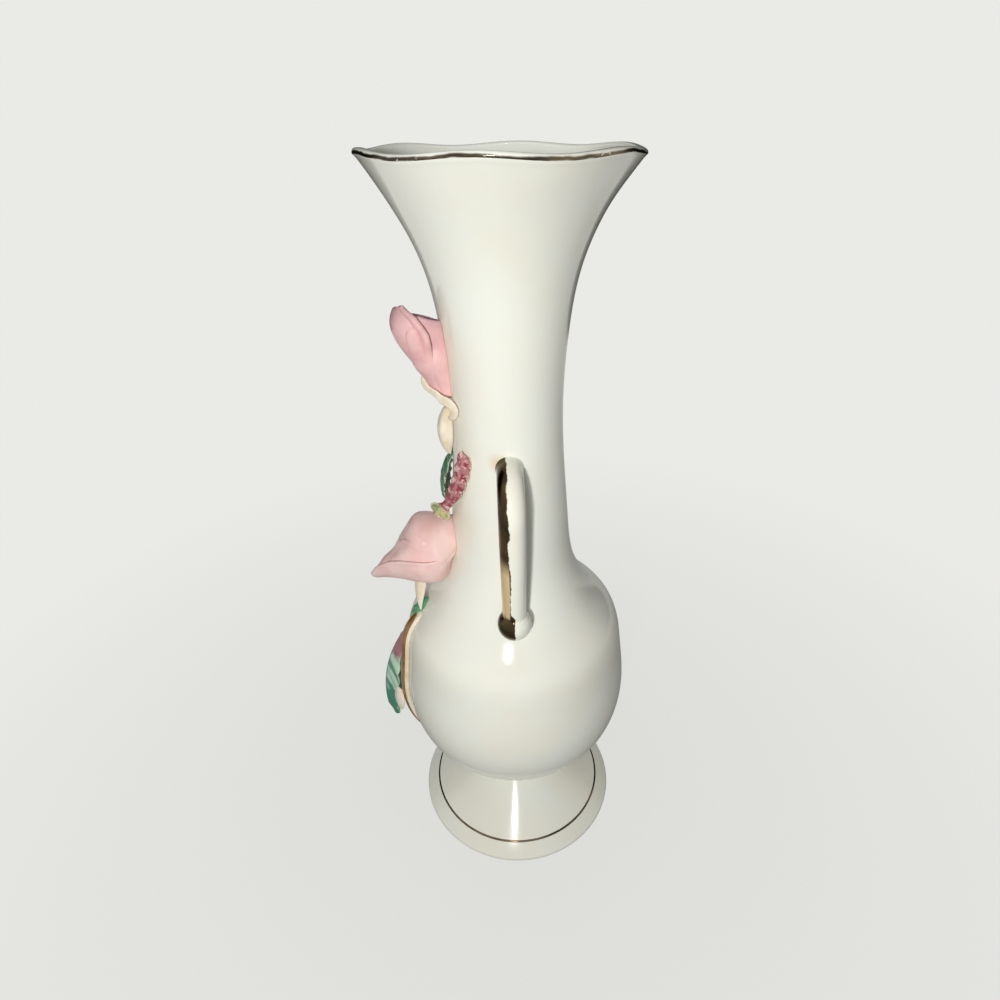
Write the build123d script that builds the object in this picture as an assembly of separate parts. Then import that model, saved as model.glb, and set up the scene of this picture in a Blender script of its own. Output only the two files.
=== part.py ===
from build123d import *
import os
from math import asin, cos, degrees, radians, sin, tan

# Footed porcelain vase with a trumpet neck, a globe, two ear handles and a spray of applied roses.
# Millimetres, +Z up. The origin is the middle of the foot ring, on the surface that the vase stands on.
# The spray faces -Y (the front), and the handles stand at -X (left) and +X (right).
# A turn is an angle round the axis from the front, towards +X.

# Outline of the turned body: the radius at each station, and its rise above the station below
joint_radius = 12.6
joint_height = 23.2
keel_radius = 21.15
keel_rise = 5.8
under_radius = 29.5
under_rise = 11.0
belly_radius = 32.05
belly_rise = 13.0
chest_radius = 30.8
chest_rise = 13.0
shoulder_radius = 28.3
shoulder_rise = 10.6
slope_radius = 22.25
slope_rise = 7.1
collar_radius = 17.1
collar_rise = 9.3
root_radius = 14.85
root_rise = 15.0
waist_radius = 13.1
waist_rise = 29.0
nape_radius = 13.95
nape_rise = 17.0
throat_radius = 16.55
throat_rise = 15.0
flare_radius = 20.8
flare_rise = 10.0
rim_radius = 29.1
rim_rise = 12.3
wall = 2.8
lip_thickness = 2.0
floor_thickness = 3.6

# Wavy gilded lip, with two valleys for each roller. It rises a little towards the front
lip_rollers = 3
lip_wave = 0.8
lip_turn = -10.0
lip_tilt = 1.3
lip_crest_drop = 0.7
lip_gilt_depth = 0.9

# Pedestal foot
foot_radius = 30.8
foot_edge_height = 1.9
foot_ring_radius = 29.6
foot_ring_width = 3.6
foot_line_radius = 27.4
foot_line_height = 4.2
foot_cone_radius = 12.4
foot_cone_rise = 9.8
foot_waist_pull = 0.2
foot_wall = 3.2
foot_roof_radius = 6.0
foot_roof_drop = 3.0
foot_gilt_width = 0.8
foot_gilt_thickness = 0.2

# Ear handles: the top sits below the waist of the neck, and the ball above the shoulder
rod_radius = 3.05
handle_top_drop = 8.8
handle_gap = 6.6
handle_bend = 8.5
handle_root_depth = 1.2
ball_radius = 4.15
ball_seat_rise = 11.6
ball_sink = 0.7

# Upper rose: a half-open bud that leans on the neck, above its waist, with a slanting mouth.
# Levels are shares of the length, radii shares of the radius, and spreads shares of a petal's width
upper_rose_turn = 3.0
upper_rose_rise = 4.0
upper_rose_clear = 0.3
upper_rose_lean = 15.0
upper_rose_length = 22.0
upper_rose_radius = 6.8
upper_rose_levels = (0.0, 0.1, 0.22, 0.48, 0.75, 0.9, 1.0)
upper_rose_radii = (0.4, 0.46, 0.54, 0.78, 1.0, 0.94, 0.7)
upper_rose_spreads = (0.9, 1.0, 1.0, 1.0, 1.0, 0.9, 0.7)
upper_rose_heart_drop = 2.6
upper_rose_petals = 3
upper_rose_start = -90.0
upper_rose_sepals = (-95.0, -20.0, 190.0)
upper_rose_mouth_rise = 18.3
upper_rose_mouth_tilt = 23.7

# Lower rose: a closed bud that points out and down from the collar, over the globe
lower_rose_turn = 4.0
lower_rose_rise = 9.3
lower_rose_droop = 26.0
lower_rose_length = 24.8
lower_rose_radius = 9.7
lower_rose_levels = (-0.12, 0.08, 0.28, 0.55, 0.7, 0.86, 1.0)
lower_rose_radii = (0.4, 0.74, 1.0, 0.75, 0.48, 0.25, 0.06)
lower_rose_spreads = (1.0, 1.0, 1.0, 0.95, 0.85, 0.7, 0.35)
lower_rose_petals = 4
lower_rose_start = -61.0
lower_rose_sepals = (180.0,)

# Petals and sepals of both roses
heart_share = 0.68
heart_point = 0.6
petal_share = 0.13
petal_least = 0.45
petal_clear = 0.3
petal_lap = 1.25
sepal_thickness = 0.9
sepal_clear = 0.3
sepal_width = 44.0
sepal_spreads = (1.0, 0.9, 0.2)
sepal_lifts = (0.0, 0.0, 0.6)

# Stem that runs down the globe, with a gilded ridge
stem_turn = 13.0
stem_width = 5.0
stem_rise = 1.7
stem_above_belly = 25.0
stem_below_belly = 20.0
stem_stations = 6
stem_gilt_width = 3.4
stem_gilt_thickness = 0.25

# Leaves. Each runs from a root to a tip, given as turn, height from its station and distance off the wall
leaf_thickness = 1.0
leaf_fullness = 0.8
leaf_overrun = 6.0
plain_leaf_steps = 8
tooth_depth = 0.16
crimson_leaf_root = (44.0, -7.0, 0.4)
crimson_leaf_tip = (7.0, -28.0, 5.6)
crimson_leaf_width = 10.5
crimson_leaf_arch = 3.3
crimson_leaf_fold = 20.0
crimson_leaf_teeth = 7
green_leaf_root = (-4.0, -12.0, 0.4)
green_leaf_tip = (-30.0, -30.0, 3.0)
green_leaf_width = 8.0
green_leaf_arch = 2.9
green_leaf_fold = 20.0
green_leaf_teeth = 6
cream_leaf_root = (4.0, 1.0, 1.4)
cream_leaf_tip = (3.0, -11.6, 0.7)
cream_leaf_width = 6.0
cream_leaf_arch = 3.8
cream_leaf_fold = 38.0
teal_leaf_root = (-1.0, 17.0, 0.3)
teal_leaf_tip = (-3.0, -17.5, 13.6)
teal_leaf_width = 12.0
teal_leaf_arch = 6.9
teal_leaf_fold = 40.0
teal_leaf_teeth = 8
hanging_sepal_root = (4.0, 35.6, 6.4)
hanging_sepal_tip = (7.0, 26.5, 0.3)
hanging_sepal_width = 4.0
hanging_sepal_arch = 4.5
hanging_sepal_fold = 20.0
small_leaf_root = (0.0, 29.5, 0.6)
small_leaf_tip = (2.0, 22.5, 1.0)
small_leaf_width = 4.4
small_leaf_arch = 0.95
small_leaf_fold = 15.0
small_leaf_teeth = 3
stem_leaf_root = (15.0, 0.0, 2.4)
stem_leaf_tip = (19.0, -9.5, 2.8)
stem_leaf_width = 4.4
stem_leaf_arch = 3.05
stem_leaf_fold = 15.0

# Heights of the stations
keel_height = joint_height + keel_rise
under_height = keel_height + under_rise
belly_height = under_height + belly_rise
chest_height = belly_height + chest_rise
shoulder_height = chest_height + shoulder_rise
slope_height = shoulder_height + slope_rise
collar_height = slope_height + collar_rise
root_height = collar_height + root_rise
waist_height = root_height + waist_rise
nape_height = waist_height + nape_rise
throat_height = nape_height + throat_rise
flare_height = throat_height + flare_rise
height = flare_height + rim_rise


def station(radius, level):
    """A point of the turned outline, in the plane of the axis."""
    return Vector(radius, 0, level)


def wall_stations(inset):
    """Stations of the body's wall between the joint and the lip, moved towards the axis by the inset."""
    return [
        station(keel_radius - inset, keel_height + inset / 2),
        station(under_radius - inset, under_height),
        station(belly_radius - inset, belly_height),
        station(chest_radius - inset, chest_height),
        station(shoulder_radius - inset, shoulder_height),
        station(slope_radius - inset, slope_height),
        station(collar_radius - inset, collar_height),
        station(root_radius - inset, root_height),
        station(waist_radius - inset, waist_height),
        station(nape_radius - inset, nape_height),
        station(throat_radius - inset, throat_height),
        station(flare_radius - inset, flare_height),
    ]


lip_point = station(rim_radius, height)
joint_point = station(joint_radius, joint_height)
outer_outline = Spline(joint_point, *wall_stations(0), lip_point)


def share_at(outline, level):
    """How far along a turned outline a height is reached."""
    lower, upper = 0.0, 1.0
    for _ in range(40):
        middle = (lower + upper) / 2
        if (outline @ middle).Z < level:
            lower = middle
        else:
            upper = middle
    return lower


def wall_spot(level):
    """Radius of the outer wall at a height, with the wall's outward direction there."""
    share = share_at(outer_outline, level)
    along = outer_outline % share
    return (outer_outline @ share).X, Vector(along.Z, 0, -along.X)


def halves(outline):
    """A turned outline in two edges that meet at the belly, so that the widest circle is an edge."""
    share = share_at(outline, belly_height)
    return outline.trim(0, share), outline.trim(share, 1)


def around(turn):
    """Direction out from the axis at a turn from the front."""
    return Vector(sin(radians(turn)), -cos(radians(turn)), 0)


def wall_point(turn, level, clear):
    """A point at a turn and a height, some way off the outer wall."""
    radius, _ = wall_spot(level)
    return around(turn) * (radius + clear) + Vector(0, 0, level)


def turned(edges):
    """Solid of revolution of a closed outline about the vase's axis."""
    return revolve(make_face(edges), axis=Axis.Z)


def largest(shape):
    """The main solid of a cut piece, without the crumbs that a cut can leave."""
    return shape.solids().sort_by(SortBy.VOLUME)[-1]


def seated(piece, *carriers):
    """A piece cut away where what carries it already is."""
    for carrier in carriers:
        piece = piece - carrier
    return largest(piece)


# Cast body
def body_blank():
    """The body as if it were solid, which everything that sits on it is cut with."""
    bottom = station(0, joint_height)
    top = station(0, height)
    return turned([*halves(outer_outline), Polyline(lip_point, top, bottom, joint_point)])


def body_shell():
    """The cast body, hollow from the lip to the floor of the globe."""
    floor_height = joint_height + floor_thickness
    floor_edge = station(joint_radius - wall, floor_height)
    inner_lip = station(rim_radius - lip_thickness, height)
    inner_outline = Spline(floor_edge, *wall_stations(wall), inner_lip)
    middle = Polyline(floor_edge, station(0, floor_height), station(0, joint_height), joint_point)
    return turned([*halves(outer_outline), Line(lip_point, inner_lip), *halves(inner_outline), middle])


def lip_rollers_at(drop):
    """Rollers laid across the mouth, whose undersides are the valleys of the wavy lip."""
    half_valley = rim_radius * sin(radians(90 / lip_rollers))
    roller_radius = (half_valley ** 2 + lip_wave ** 2) / (2 * lip_wave)
    roller = Rot(90, 0, 0) * Cylinder(roller_radius, 4 * rim_radius)
    roller = Pos(0, 0, roller_radius - lip_wave) * roller
    crest = Pos(0, 0, height - lip_crest_drop - drop) * Rot(-lip_tilt, 0, 0)
    return [crest * Rot(0, 0, lip_turn + k * 180 / lip_rollers) * roller for k in range(lip_rollers)]


# Pedestal foot
def foot_cone_height():
    """Height at which the foot's straight cone ends."""
    return foot_line_height + foot_cone_rise


def pedestal_foot():
    """Hollow foot: a flat standing ring, a bevel, a straight cone and a short waist under the globe."""
    flank = foot_line_radius - foot_cone_radius
    cone_top = station(foot_cone_radius, foot_cone_height())
    cone_direction = Vector(-flank, 0, foot_cone_rise)
    waist = Bezier(cone_top, cone_top + cone_direction * foot_waist_pull, joint_point)
    outside = Polyline(
        station(foot_ring_radius, 0),
        station(foot_radius, foot_edge_height),
        station(foot_line_radius, foot_line_height),
        cone_top,
    )
    roof_height = foot_cone_height() - foot_roof_drop
    inside = Polyline(
        joint_point,
        station(0, joint_height),
        station(0, roof_height),
        station(foot_roof_radius, roof_height),
        station(foot_line_radius - foot_wall, foot_edge_height),
        station(foot_ring_radius - foot_ring_width, 0),
        station(foot_ring_radius, 0),
    )
    return turned([outside, waist, inside])


def foot_gilding():
    """Fine gilt line along the edge between the foot's cone and its bevel."""
    slope = foot_cone_rise / (foot_line_radius - foot_cone_radius)
    outer = station(foot_line_radius, foot_line_height)
    inner = outer + station(-foot_gilt_width, foot_gilt_width * slope)
    lift = station(0, foot_gilt_thickness)
    return turned([Polyline(inner, outer, outer + lift, inner + lift, inner)])


# Ear handles
def ball_centre():
    """Centre of the right handle's ball, sunk a little into the shoulder."""
    seat_height = shoulder_height + ball_seat_rise
    radius, outward = wall_spot(seat_height)
    return station(radius, seat_height) + outward * (ball_radius - ball_sink)


def handle_rod():
    """Right handle: straight out of the neck, round a bend and down to its ball."""
    top_height = waist_height - handle_top_drop
    neck_radius, _ = wall_spot(top_height)
    outermost = neck_radius + handle_gap + rod_radius
    root = station(neck_radius - handle_root_depth, top_height)
    reach = Line(root, station(outermost - handle_bend, top_height))
    bend = TangentArc(reach @ 1, station(outermost, top_height - handle_bend), tangent=reach % 1)
    drop = TangentArc(bend @ 1, ball_centre(), tangent=bend % 1)
    section = Plane(origin=root, z_dir=reach % 0) * Circle(rod_radius)
    return sweep(section, path=Wire([reach, bend, drop]))


# Roses
def bud_plane(origin, axis):
    """Frame of a bud: its own Z runs from the base to the tip, and its X looks to the right of the vase."""
    sideways = axis.cross(Vector(0, 0, 1))
    if sideways.X < 0:
        sideways = -sideways
    return Plane(origin=origin, x_dir=sideways, z_dir=axis)


def petal_thickness(radius):
    """A petal is thicker where its bud is wider."""
    return max(petal_share * radius, petal_least)


def petal_growth(radius):
    """How far a petal winds outwards from one edge to the other, so that the next fits under it."""
    return petal_lap * (petal_thickness(radius) + petal_clear)


def bud_reach(radius):
    """Outer radius of a bud with its petals."""
    return heart_share * radius + petal_clear + petal_growth(radius) + petal_thickness(radius)


def wrap_section(level, radius, middle, width, growth, thickness):
    """Cross-section of a petal or sepal, square to the axis of its bud."""

    def at(angle, distance):
        return Vector(distance * cos(radians(angle)), distance * sin(radians(angle)), level)

    start = middle - width / 2
    end = middle + width / 2
    inner = ThreePointArc(at(start, radius), at(middle, radius + growth / 2), at(end, radius + growth))
    outer = ThreePointArc(
        at(end, radius + growth + thickness),
        at(middle, radius + growth / 2 + thickness),
        at(start, radius + thickness),
    )
    return make_face([inner, Line(inner @ 1, outer @ 0), outer, Line(outer @ 1, inner @ 0)])


def bud_heart(plane, levels, radii):
    """Rolled middle of a bud, which comes to a blunt point."""
    points = [station(heart_share * radius - petal_clear, level) for level, radius in zip(levels, radii)]
    foot = station(0, points[0].Z)
    tip = station(0, points[-1].Z + heart_point * points[-1].X)
    return plane * turned([Line(foot, points[0]), Spline(*points), Line(points[-1], tip), Line(tip, foot)])


def bud_petal(plane, levels, radii, widths, middle):
    """One petal, widest at its middle, that starts on the heart and laps over the next petal."""
    sections = []
    for level, radius, width in zip(levels, radii, widths):
        inner = heart_share * radius + petal_clear
        growth = petal_growth(radius)
        sections.append(wrap_section(level, inner, middle, width, growth, petal_thickness(radius)))
    return plane * loft(sections)


def bud_sepal(plane, levels, radii, widths, middle):
    """One sepal: a narrow tongue that lies on the petals and lifts at its tip."""
    sections = [
        wrap_section(level, radius + sepal_clear, middle, width, 0, sepal_thickness)
        for level, radius, width in zip(levels, radii, widths)
    ]
    return plane * loft(sections)


# Stem
def wall_strip(turn, width, low, high, inner, outer):
    """A strip that follows the globe's wall between two heights and two distances off the wall."""
    steps = stem_stations
    levels = [low + (high - low) * k / steps for k in range(steps + 1)]
    near = []
    far = []
    for level in levels:
        radius, outward = wall_spot(level)
        near.append(station(radius, level) + outward * inner)
        far.append(station(radius, level) + outward * outer)
    inner_edge = Spline(*near)
    outer_edge = Spline(*far)
    face = make_face([inner_edge, Line(near[-1], far[-1]), outer_edge, Line(far[0], near[0])])
    arc = degrees(width / belly_radius)
    return Rot(0, 0, turn - 90 - arc / 2) * revolve(face, axis=Axis.Z, revolution_arc=arc)


# Leaves
def leaf_side(length, width, teeth):
    """One side of a leaf's outline from root to tip, notched between its teeth."""
    steps = max(2 * teeth, plain_leaf_steps)
    side = []
    for k in range(1, steps):
        share = k / steps
        reach = width / 2 * sin(radians(180 * share ** leaf_fullness)) ** leaf_fullness
        if teeth and k % 2 == 0:
            reach *= 1 - tooth_depth
        side.append((reach, share * length))
    return side


def leaf(datum, root, tip, width, arch, fold, teeth=0):
    """A leaf bowed along its length and folded down from its midrib, with a toothed or plain edge.

    Its root, its middle and its tip each stand off the wall, the middle by the arch.
    """
    start = wall_point(root[0], datum + root[1], root[2])
    end = wall_point(tip[0], datum + tip[1], tip[2])
    middle_turn = (root[0] + tip[0]) / 2
    middle = wall_point(middle_turn, datum + (root[1] + tip[1]) / 2, arch)
    along = end - start
    length = along.length
    across = along.cross(around(middle_turn))
    frame = Plane(origin=start, x_dir=across, z_dir=across.cross(along))
    bow = (middle - start).dot(frame.z_dir)
    right = leaf_side(length, width, teeth)
    left = [(-x, y) for x, y in reversed(right)]
    edge = Polyline((0, 0), *right, (0, length), *left, close=True)
    blank = extrude(make_face(edge), amount=4 * width, both=True)
    bend_radius = (length ** 2 / 4 + bow ** 2) / (2 * bow)
    half_angle = degrees(asin(length / 2 / bend_radius)) + leaf_overrun
    hinge = Axis((0, length / 2, bow - bend_radius), (1, 0, 0))
    crown = Vector(0, length / 2, bow)
    flank = Vector(width, 0, -width * tan(radians(fold)))
    other_flank = Vector(-flank.X, 0, flank.Z)
    depth = Vector(0, 0, -leaf_thickness)
    rib = Polyline(
        crown + other_flank,
        crown,
        crown + flank,
        crown + flank + depth,
        crown + depth,
        crown + other_flank + depth,
        close=True,
    )
    section = make_face(rib).rotate(hinge, half_angle)
    plate = revolve(section, axis=hinge, revolution_arc=-2 * half_angle)
    return frame * largest(plate & blank)


pieces = {}

# Body, lip and foot
blank = body_blank()
shell = body_shell() - lip_rollers_at(0)
pieces["vase_body"] = largest(shell - lip_rollers_at(lip_gilt_depth))
pieces["rim_gilding"] = largest(shell - pieces["vase_body"])
pieces["pedestal_foot"] = pedestal_foot()
pieces["foot_gilding"] = foot_gilding()

# Handles
ball = Pos(ball_centre()) * Sphere(ball_radius)
rod = seated(handle_rod(), blank, ball)
ball = seated(ball, blank)
pieces["handle_right"] = rod
pieces["handle_ball_right"] = ball
pieces["handle_left"] = mirror(rod, about=Plane.YZ)
pieces["handle_ball_left"] = mirror(ball, about=Plane.YZ)


def add_rose(name, plane, length, radius, levels, radii, spreads, petals, start, sepals, cutters=(), drop=0):
    """Heart, petals and sepals of one bud, cut where they meet the neck or a cutter."""
    reaches = [radius * share for share in radii]
    heights = [length * share for share in levels]
    lowered = [Pos(plane.z_dir * -drop) * cutter for cutter in cutters]
    pieces[f"{name}_heart"] = seated(bud_heart(plane, heights[:-1], reaches[:-1]), blank, *lowered)
    spacing = 360 / petals
    widths = [petal_lap * spacing * share for share in spreads]
    for k in range(petals):
        petal = bud_petal(plane, heights, reaches, widths, start + k * spacing)
        pieces[f"{name}_petal_{k + 1}"] = seated(petal, blank, *cutters)
    sepal_reaches = [bud_reach(reach) + lift for reach, lift in zip(reaches, sepal_lifts)]
    sepal_widths = [sepal_width * share for share in sepal_spreads]
    for k, side in enumerate(sepals):
        sepal = bud_sepal(plane, heights, sepal_reaches, sepal_widths, side)
        pieces[f"{name}_sepal_{k + 1}"] = seated(sepal, blank)


# Upper rose
upper_lean = radians(upper_rose_lean)
upper_axis = around(upper_rose_turn) * sin(upper_lean) + Vector(0, 0, cos(upper_lean))
upper_base = wall_point(upper_rose_turn, waist_height + upper_rose_rise, upper_rose_clear)
mouth_tilt = radians(upper_rose_mouth_tilt)
mouth_centre = upper_base + upper_axis * upper_rose_mouth_rise
mouth_up = Vector(0, 0, cos(mouth_tilt)) - around(upper_rose_turn) * sin(mouth_tilt)
mouth = Plane(origin=mouth_centre, z_dir=mouth_up) * Pos(0, 0, upper_rose_length / 2)
add_rose(
    "upper_rose", bud_plane(upper_base, upper_axis), upper_rose_length, upper_rose_radius,
    upper_rose_levels, upper_rose_radii, upper_rose_spreads,
    upper_rose_petals, upper_rose_start, upper_rose_sepals,
    cutters=[mouth * Box(upper_rose_length, upper_rose_length, upper_rose_length)],
    drop=upper_rose_heart_drop,
)

# Lower rose
lower_droop = radians(lower_rose_droop)
lower_axis = around(lower_rose_turn) * cos(lower_droop) - Vector(0, 0, sin(lower_droop))
lower_base = wall_point(lower_rose_turn, collar_height + lower_rose_rise, 0)
add_rose(
    "lower_rose", bud_plane(lower_base, lower_axis), lower_rose_length, lower_rose_radius,
    lower_rose_levels, lower_rose_radii, lower_rose_spreads,
    lower_rose_petals, lower_rose_start, lower_rose_sepals,
)

# Stem
stem_low = belly_height - stem_below_belly
stem_high = belly_height + stem_above_belly
strip = wall_strip(stem_turn, stem_width, stem_low, stem_high, -stem_rise, stem_rise)
pieces["stem"] = seated(strip, blank)
ridge = stem_rise + stem_gilt_thickness
pieces["stem_gilding"] = wall_strip(stem_turn, stem_gilt_width, stem_low, stem_high, stem_rise, ridge)


def add_leaf(name, neighbours, *shape):
    """A leaf, cut where it meets the wall and the neighbours that were there before it."""
    pieces[name] = seated(leaf(*shape), blank, *[pieces[neighbour] for neighbour in neighbours])


# Leaves of the neck
add_leaf(
    "crimson_leaf", ["lower_rose_petal_2", "lower_rose_petal_3"], waist_height,
    crimson_leaf_root, crimson_leaf_tip, crimson_leaf_width, crimson_leaf_arch, crimson_leaf_fold,
    crimson_leaf_teeth,
)
add_leaf(
    "green_leaf", ["lower_rose_petal_3", "lower_rose_petal_4", "crimson_leaf"], waist_height,
    green_leaf_root, green_leaf_tip, green_leaf_width, green_leaf_arch, green_leaf_fold, green_leaf_teeth,
)
add_leaf(
    "cream_leaf", ["upper_rose_sepal_1", "upper_rose_sepal_2"], waist_height, cream_leaf_root, cream_leaf_tip,
    cream_leaf_width, cream_leaf_arch, cream_leaf_fold,
)

# Leaves of the globe
add_leaf(
    "hanging_sepal", ["lower_rose_petal_1", "lower_rose_petal_4", "stem", "stem_gilding"], belly_height,
    hanging_sepal_root, hanging_sepal_tip, hanging_sepal_width, hanging_sepal_arch, hanging_sepal_fold,
)
add_leaf(
    "small_leaf", ["stem", "stem_gilding", "hanging_sepal"], belly_height, small_leaf_root, small_leaf_tip,
    small_leaf_width, small_leaf_arch, small_leaf_fold, small_leaf_teeth,
)
add_leaf(
    "teal_leaf", ["stem", "stem_gilding"], belly_height, teal_leaf_root, teal_leaf_tip,
    teal_leaf_width, teal_leaf_arch, teal_leaf_fold, teal_leaf_teeth,
)
add_leaf(
    "stem_leaf", ["stem", "stem_gilding", "teal_leaf"], belly_height, stem_leaf_root, stem_leaf_tip,
    stem_leaf_width, stem_leaf_arch, stem_leaf_fold,
)

os.makedirs("parts", exist_ok=True)
for name, shape in pieces.items():
    print(name, round(shape.volume, 1), "mm3")
    export_step(shape, f"parts/{name}.step")
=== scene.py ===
# %% [markdown]
# # A footed porcelain vase with applied roses
#
# The object is a small ornamental vase: an ivory-glazed body with a trumpet neck, a pedestal foot, two ear
# handles with a ball at the end, gilt lines, and a spray of hand-made roses and leaves up the front. The solids
# of the same vase were modelled before in millimetres. Here they are loaded as a fixed frame, in metres, and each
# one is replaced by a finer piece that keeps its place.

# %% Load the solid model
import math

import bmesh
import bpy
import numpy as np
from mathutils import Matrix, Vector


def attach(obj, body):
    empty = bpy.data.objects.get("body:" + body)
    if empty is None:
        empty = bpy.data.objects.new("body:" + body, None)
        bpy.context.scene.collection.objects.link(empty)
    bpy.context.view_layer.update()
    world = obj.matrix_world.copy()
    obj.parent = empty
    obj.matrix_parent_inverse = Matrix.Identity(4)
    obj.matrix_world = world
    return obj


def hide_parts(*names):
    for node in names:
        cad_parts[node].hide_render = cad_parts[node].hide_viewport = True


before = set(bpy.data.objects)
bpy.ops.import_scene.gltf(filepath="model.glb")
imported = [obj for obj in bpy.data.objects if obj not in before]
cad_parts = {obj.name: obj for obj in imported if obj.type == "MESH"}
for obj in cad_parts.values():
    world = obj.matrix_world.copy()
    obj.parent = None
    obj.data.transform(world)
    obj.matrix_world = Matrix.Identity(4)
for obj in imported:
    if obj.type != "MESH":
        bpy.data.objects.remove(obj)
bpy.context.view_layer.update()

# %% [markdown]
# ## Small tools
#
# Node trees take many lines when each node is made by hand. Four short helpers keep the later cells readable: one
# feeds a socket, one makes a node with its settings, one does a step of arithmetic, and one says how far a value
# has come between two others. They work in shader trees and in Geometry Nodes trees alike.

# %% Helpers for node trees
MM = 0.001


def feed(tree, socket, value):
    """Links another node's output to a socket, or writes a plain value on it."""
    if isinstance(value, bpy.types.NodeSocket):
        tree.links.new(value, socket)
    else:
        socket.default_value = value


def add_node(tree, kind, inputs=None, **settings):
    """A new node with its settings, and its inputs fed by name or number."""
    made = tree.nodes.new(kind)
    for name, value in settings.items():
        setattr(made, name, value)
    for key, value in (inputs or {}).items():
        feed(tree, made.inputs[key], value)
    return made


def sums(tree, operation, *values):
    """One step of arithmetic."""
    return add_node(tree, "ShaderNodeMath", dict(enumerate(values)), operation=operation).outputs[0]


def between(tree, value, low, high):
    """How far a value has come from low to high, from 0 to 1, with soft ends."""
    inputs = {0: value, 1: low, 2: high}
    return add_node(tree, "ShaderNodeMapRange", inputs, interpolation_type="SMOOTHSTEP").outputs[0]


print("helpers ready")

# %% [markdown]
# ## The turned outline
#
# The body was cast in a mould whose master was turned on a lathe, so one outline describes all of it. A handful
# of stations, each a radius and a height, is enough when a smooth cubic runs through them. The cubic is worked
# out here with numpy instead of a curve object, because its radius at any height is needed again: every flower
# and leaf is set down on this wall.

# %% Outline of the body
STATIONS = [
    (12.6, 23.2), (21.15, 29.0), (29.5, 40.0), (32.05, 53.0), (30.8, 66.0), (28.3, 76.6), (22.25, 83.7),
    (17.1, 93.0), (14.85, 108.0), (13.1, 137.0), (13.95, 154.0), (16.55, 169.0), (20.8, 179.0), (29.1, 191.3),
]
WALL = 2.8


def smooth_line(points, count):
    """A smooth line through some points: a cubic between each two, with no jump in slope or curvature."""
    points = np.array(points, float)
    gaps = np.linalg.norm(np.diff(points, axis=0), axis=1)
    stops = np.concatenate([[0], np.cumsum(gaps)])
    size = len(points)
    grid = np.zeros((size, size))
    aim = np.zeros((size, points.shape[1]))
    slopes = np.diff(points, axis=0) / gaps[:, None]
    for k in range(1, size - 1):
        grid[k, k - 1:k + 2] = gaps[k], 2 * (gaps[k - 1] + gaps[k]), gaps[k - 1]
        aim[k] = 3 * (gaps[k] * slopes[k - 1] + gaps[k - 1] * slopes[k])
    grid[0, :2] = 2, 1
    grid[-1, -2:] = 1, 2
    aim[0], aim[-1] = 3 * slopes[0], 3 * slopes[-1]
    tangents = np.linalg.solve(grid, aim)
    where = np.linspace(0, stops[-1], count)
    k = np.clip(np.searchsorted(stops, where, side="right") - 1, 0, size - 2)
    step = gaps[k][:, None]
    share = ((where - stops[k]) / gaps[k])[:, None]
    start = (1 + 2 * share) * (1 - share) ** 2 * points[k] + share * (1 - share) ** 2 * step * tangents[k]
    end = share ** 2 * (3 - 2 * share) * points[k + 1] + share ** 2 * (share - 1) * step * tangents[k + 1]
    return start + end


outer_wall = smooth_line(STATIONS, 220)


def wall_radius(height):
    """Radius of the outer wall at a height, in millimetres."""
    return np.interp(height, outer_wall[:, 1], outer_wall[:, 0])


print("widest:", outer_wall[:, 0].max().round(2), "narrowest neck:", wall_radius(140).round(2))

# %% [markdown]
# ## A lathe made of nodes
#
# The body, the lip's gilding, the foot, its gilt line and the balls of the handles are all turned shapes, so one
# Geometry Nodes tree makes them all. Blender's Screw modifier could turn an outline as well, but a tree of our
# own can also make the lip wavy and tilted in the same step. The outline arrives as a row of points. The tree lays
# a grid with one column for each step round the axis, and moves each of its points to the outline's radius and
# height. The last column lies on the first, so the two are merged.

# %% Geometry Nodes tree of the lathe
def new_tree(name, sockets):
    """An empty Geometry Nodes tree with a geometry in and out, and named inputs with their usual values."""
    tree = bpy.data.node_groups.new(name, "GeometryNodeTree")
    tree.interface.new_socket("Geometry", in_out="OUTPUT", socket_type="NodeSocketGeometry")
    tree.interface.new_socket("Outline", in_out="INPUT", socket_type="NodeSocketGeometry")
    for label, kind, usual in sockets:
        socket = tree.interface.new_socket(label, in_out="INPUT", socket_type=f"NodeSocket{kind}")
        if usual is not None:
            socket.default_value = usual
    return tree, tree.nodes.new("NodeGroupInput").outputs, tree.nodes.new("NodeGroupOutput").inputs


def finish_tree(tree, geometry, finish, output):
    """The end of every tree: smooth faces, real geometry instead of instances, and a finish."""
    smooth = add_node(tree, "GeometryNodeSetShadeSmooth", {"Geometry": geometry})
    real = add_node(tree, "GeometryNodeRealizeInstances", {"Geometry": smooth.outputs[0]})
    dressed = add_node(tree, "GeometryNodeSetMaterial", {"Geometry": real.outputs[0], "Material": finish})
    feed(tree, output, dressed.outputs[0])


lathe, given, result = new_tree("Lathe", [
    ("Steps", "Int", 160), ("Lobes", "Int", 6), ("Wave", "Float", 0.0), ("Wave turn", "Float", 0.0),
    ("Tilt", "Float", 0.0), ("Wave from", "Float", 0.0), ("Wave to", "Float", 1.0), ("Finish", "Material", None),
])
rows = add_node(lathe, "GeometryNodeAttributeDomainSize", {"Geometry": given["Outline"]}).outputs["Point Count"]
columns = sums(lathe, "ADD", given["Steps"], 1)
grid = add_node(lathe, "GeometryNodeMeshGrid", {"Vertices X": columns, "Vertices Y": rows}).outputs["Mesh"]
number = lathe.nodes.new("GeometryNodeInputIndex").outputs[0]
column = sums(lathe, "FLOOR", sums(lathe, "DIVIDE", number, rows))
row = sums(lathe, "SUBTRACT", number, sums(lathe, "MULTIPLY", column, rows))
place = lathe.nodes.new("GeometryNodeInputPosition").outputs[0]
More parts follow.
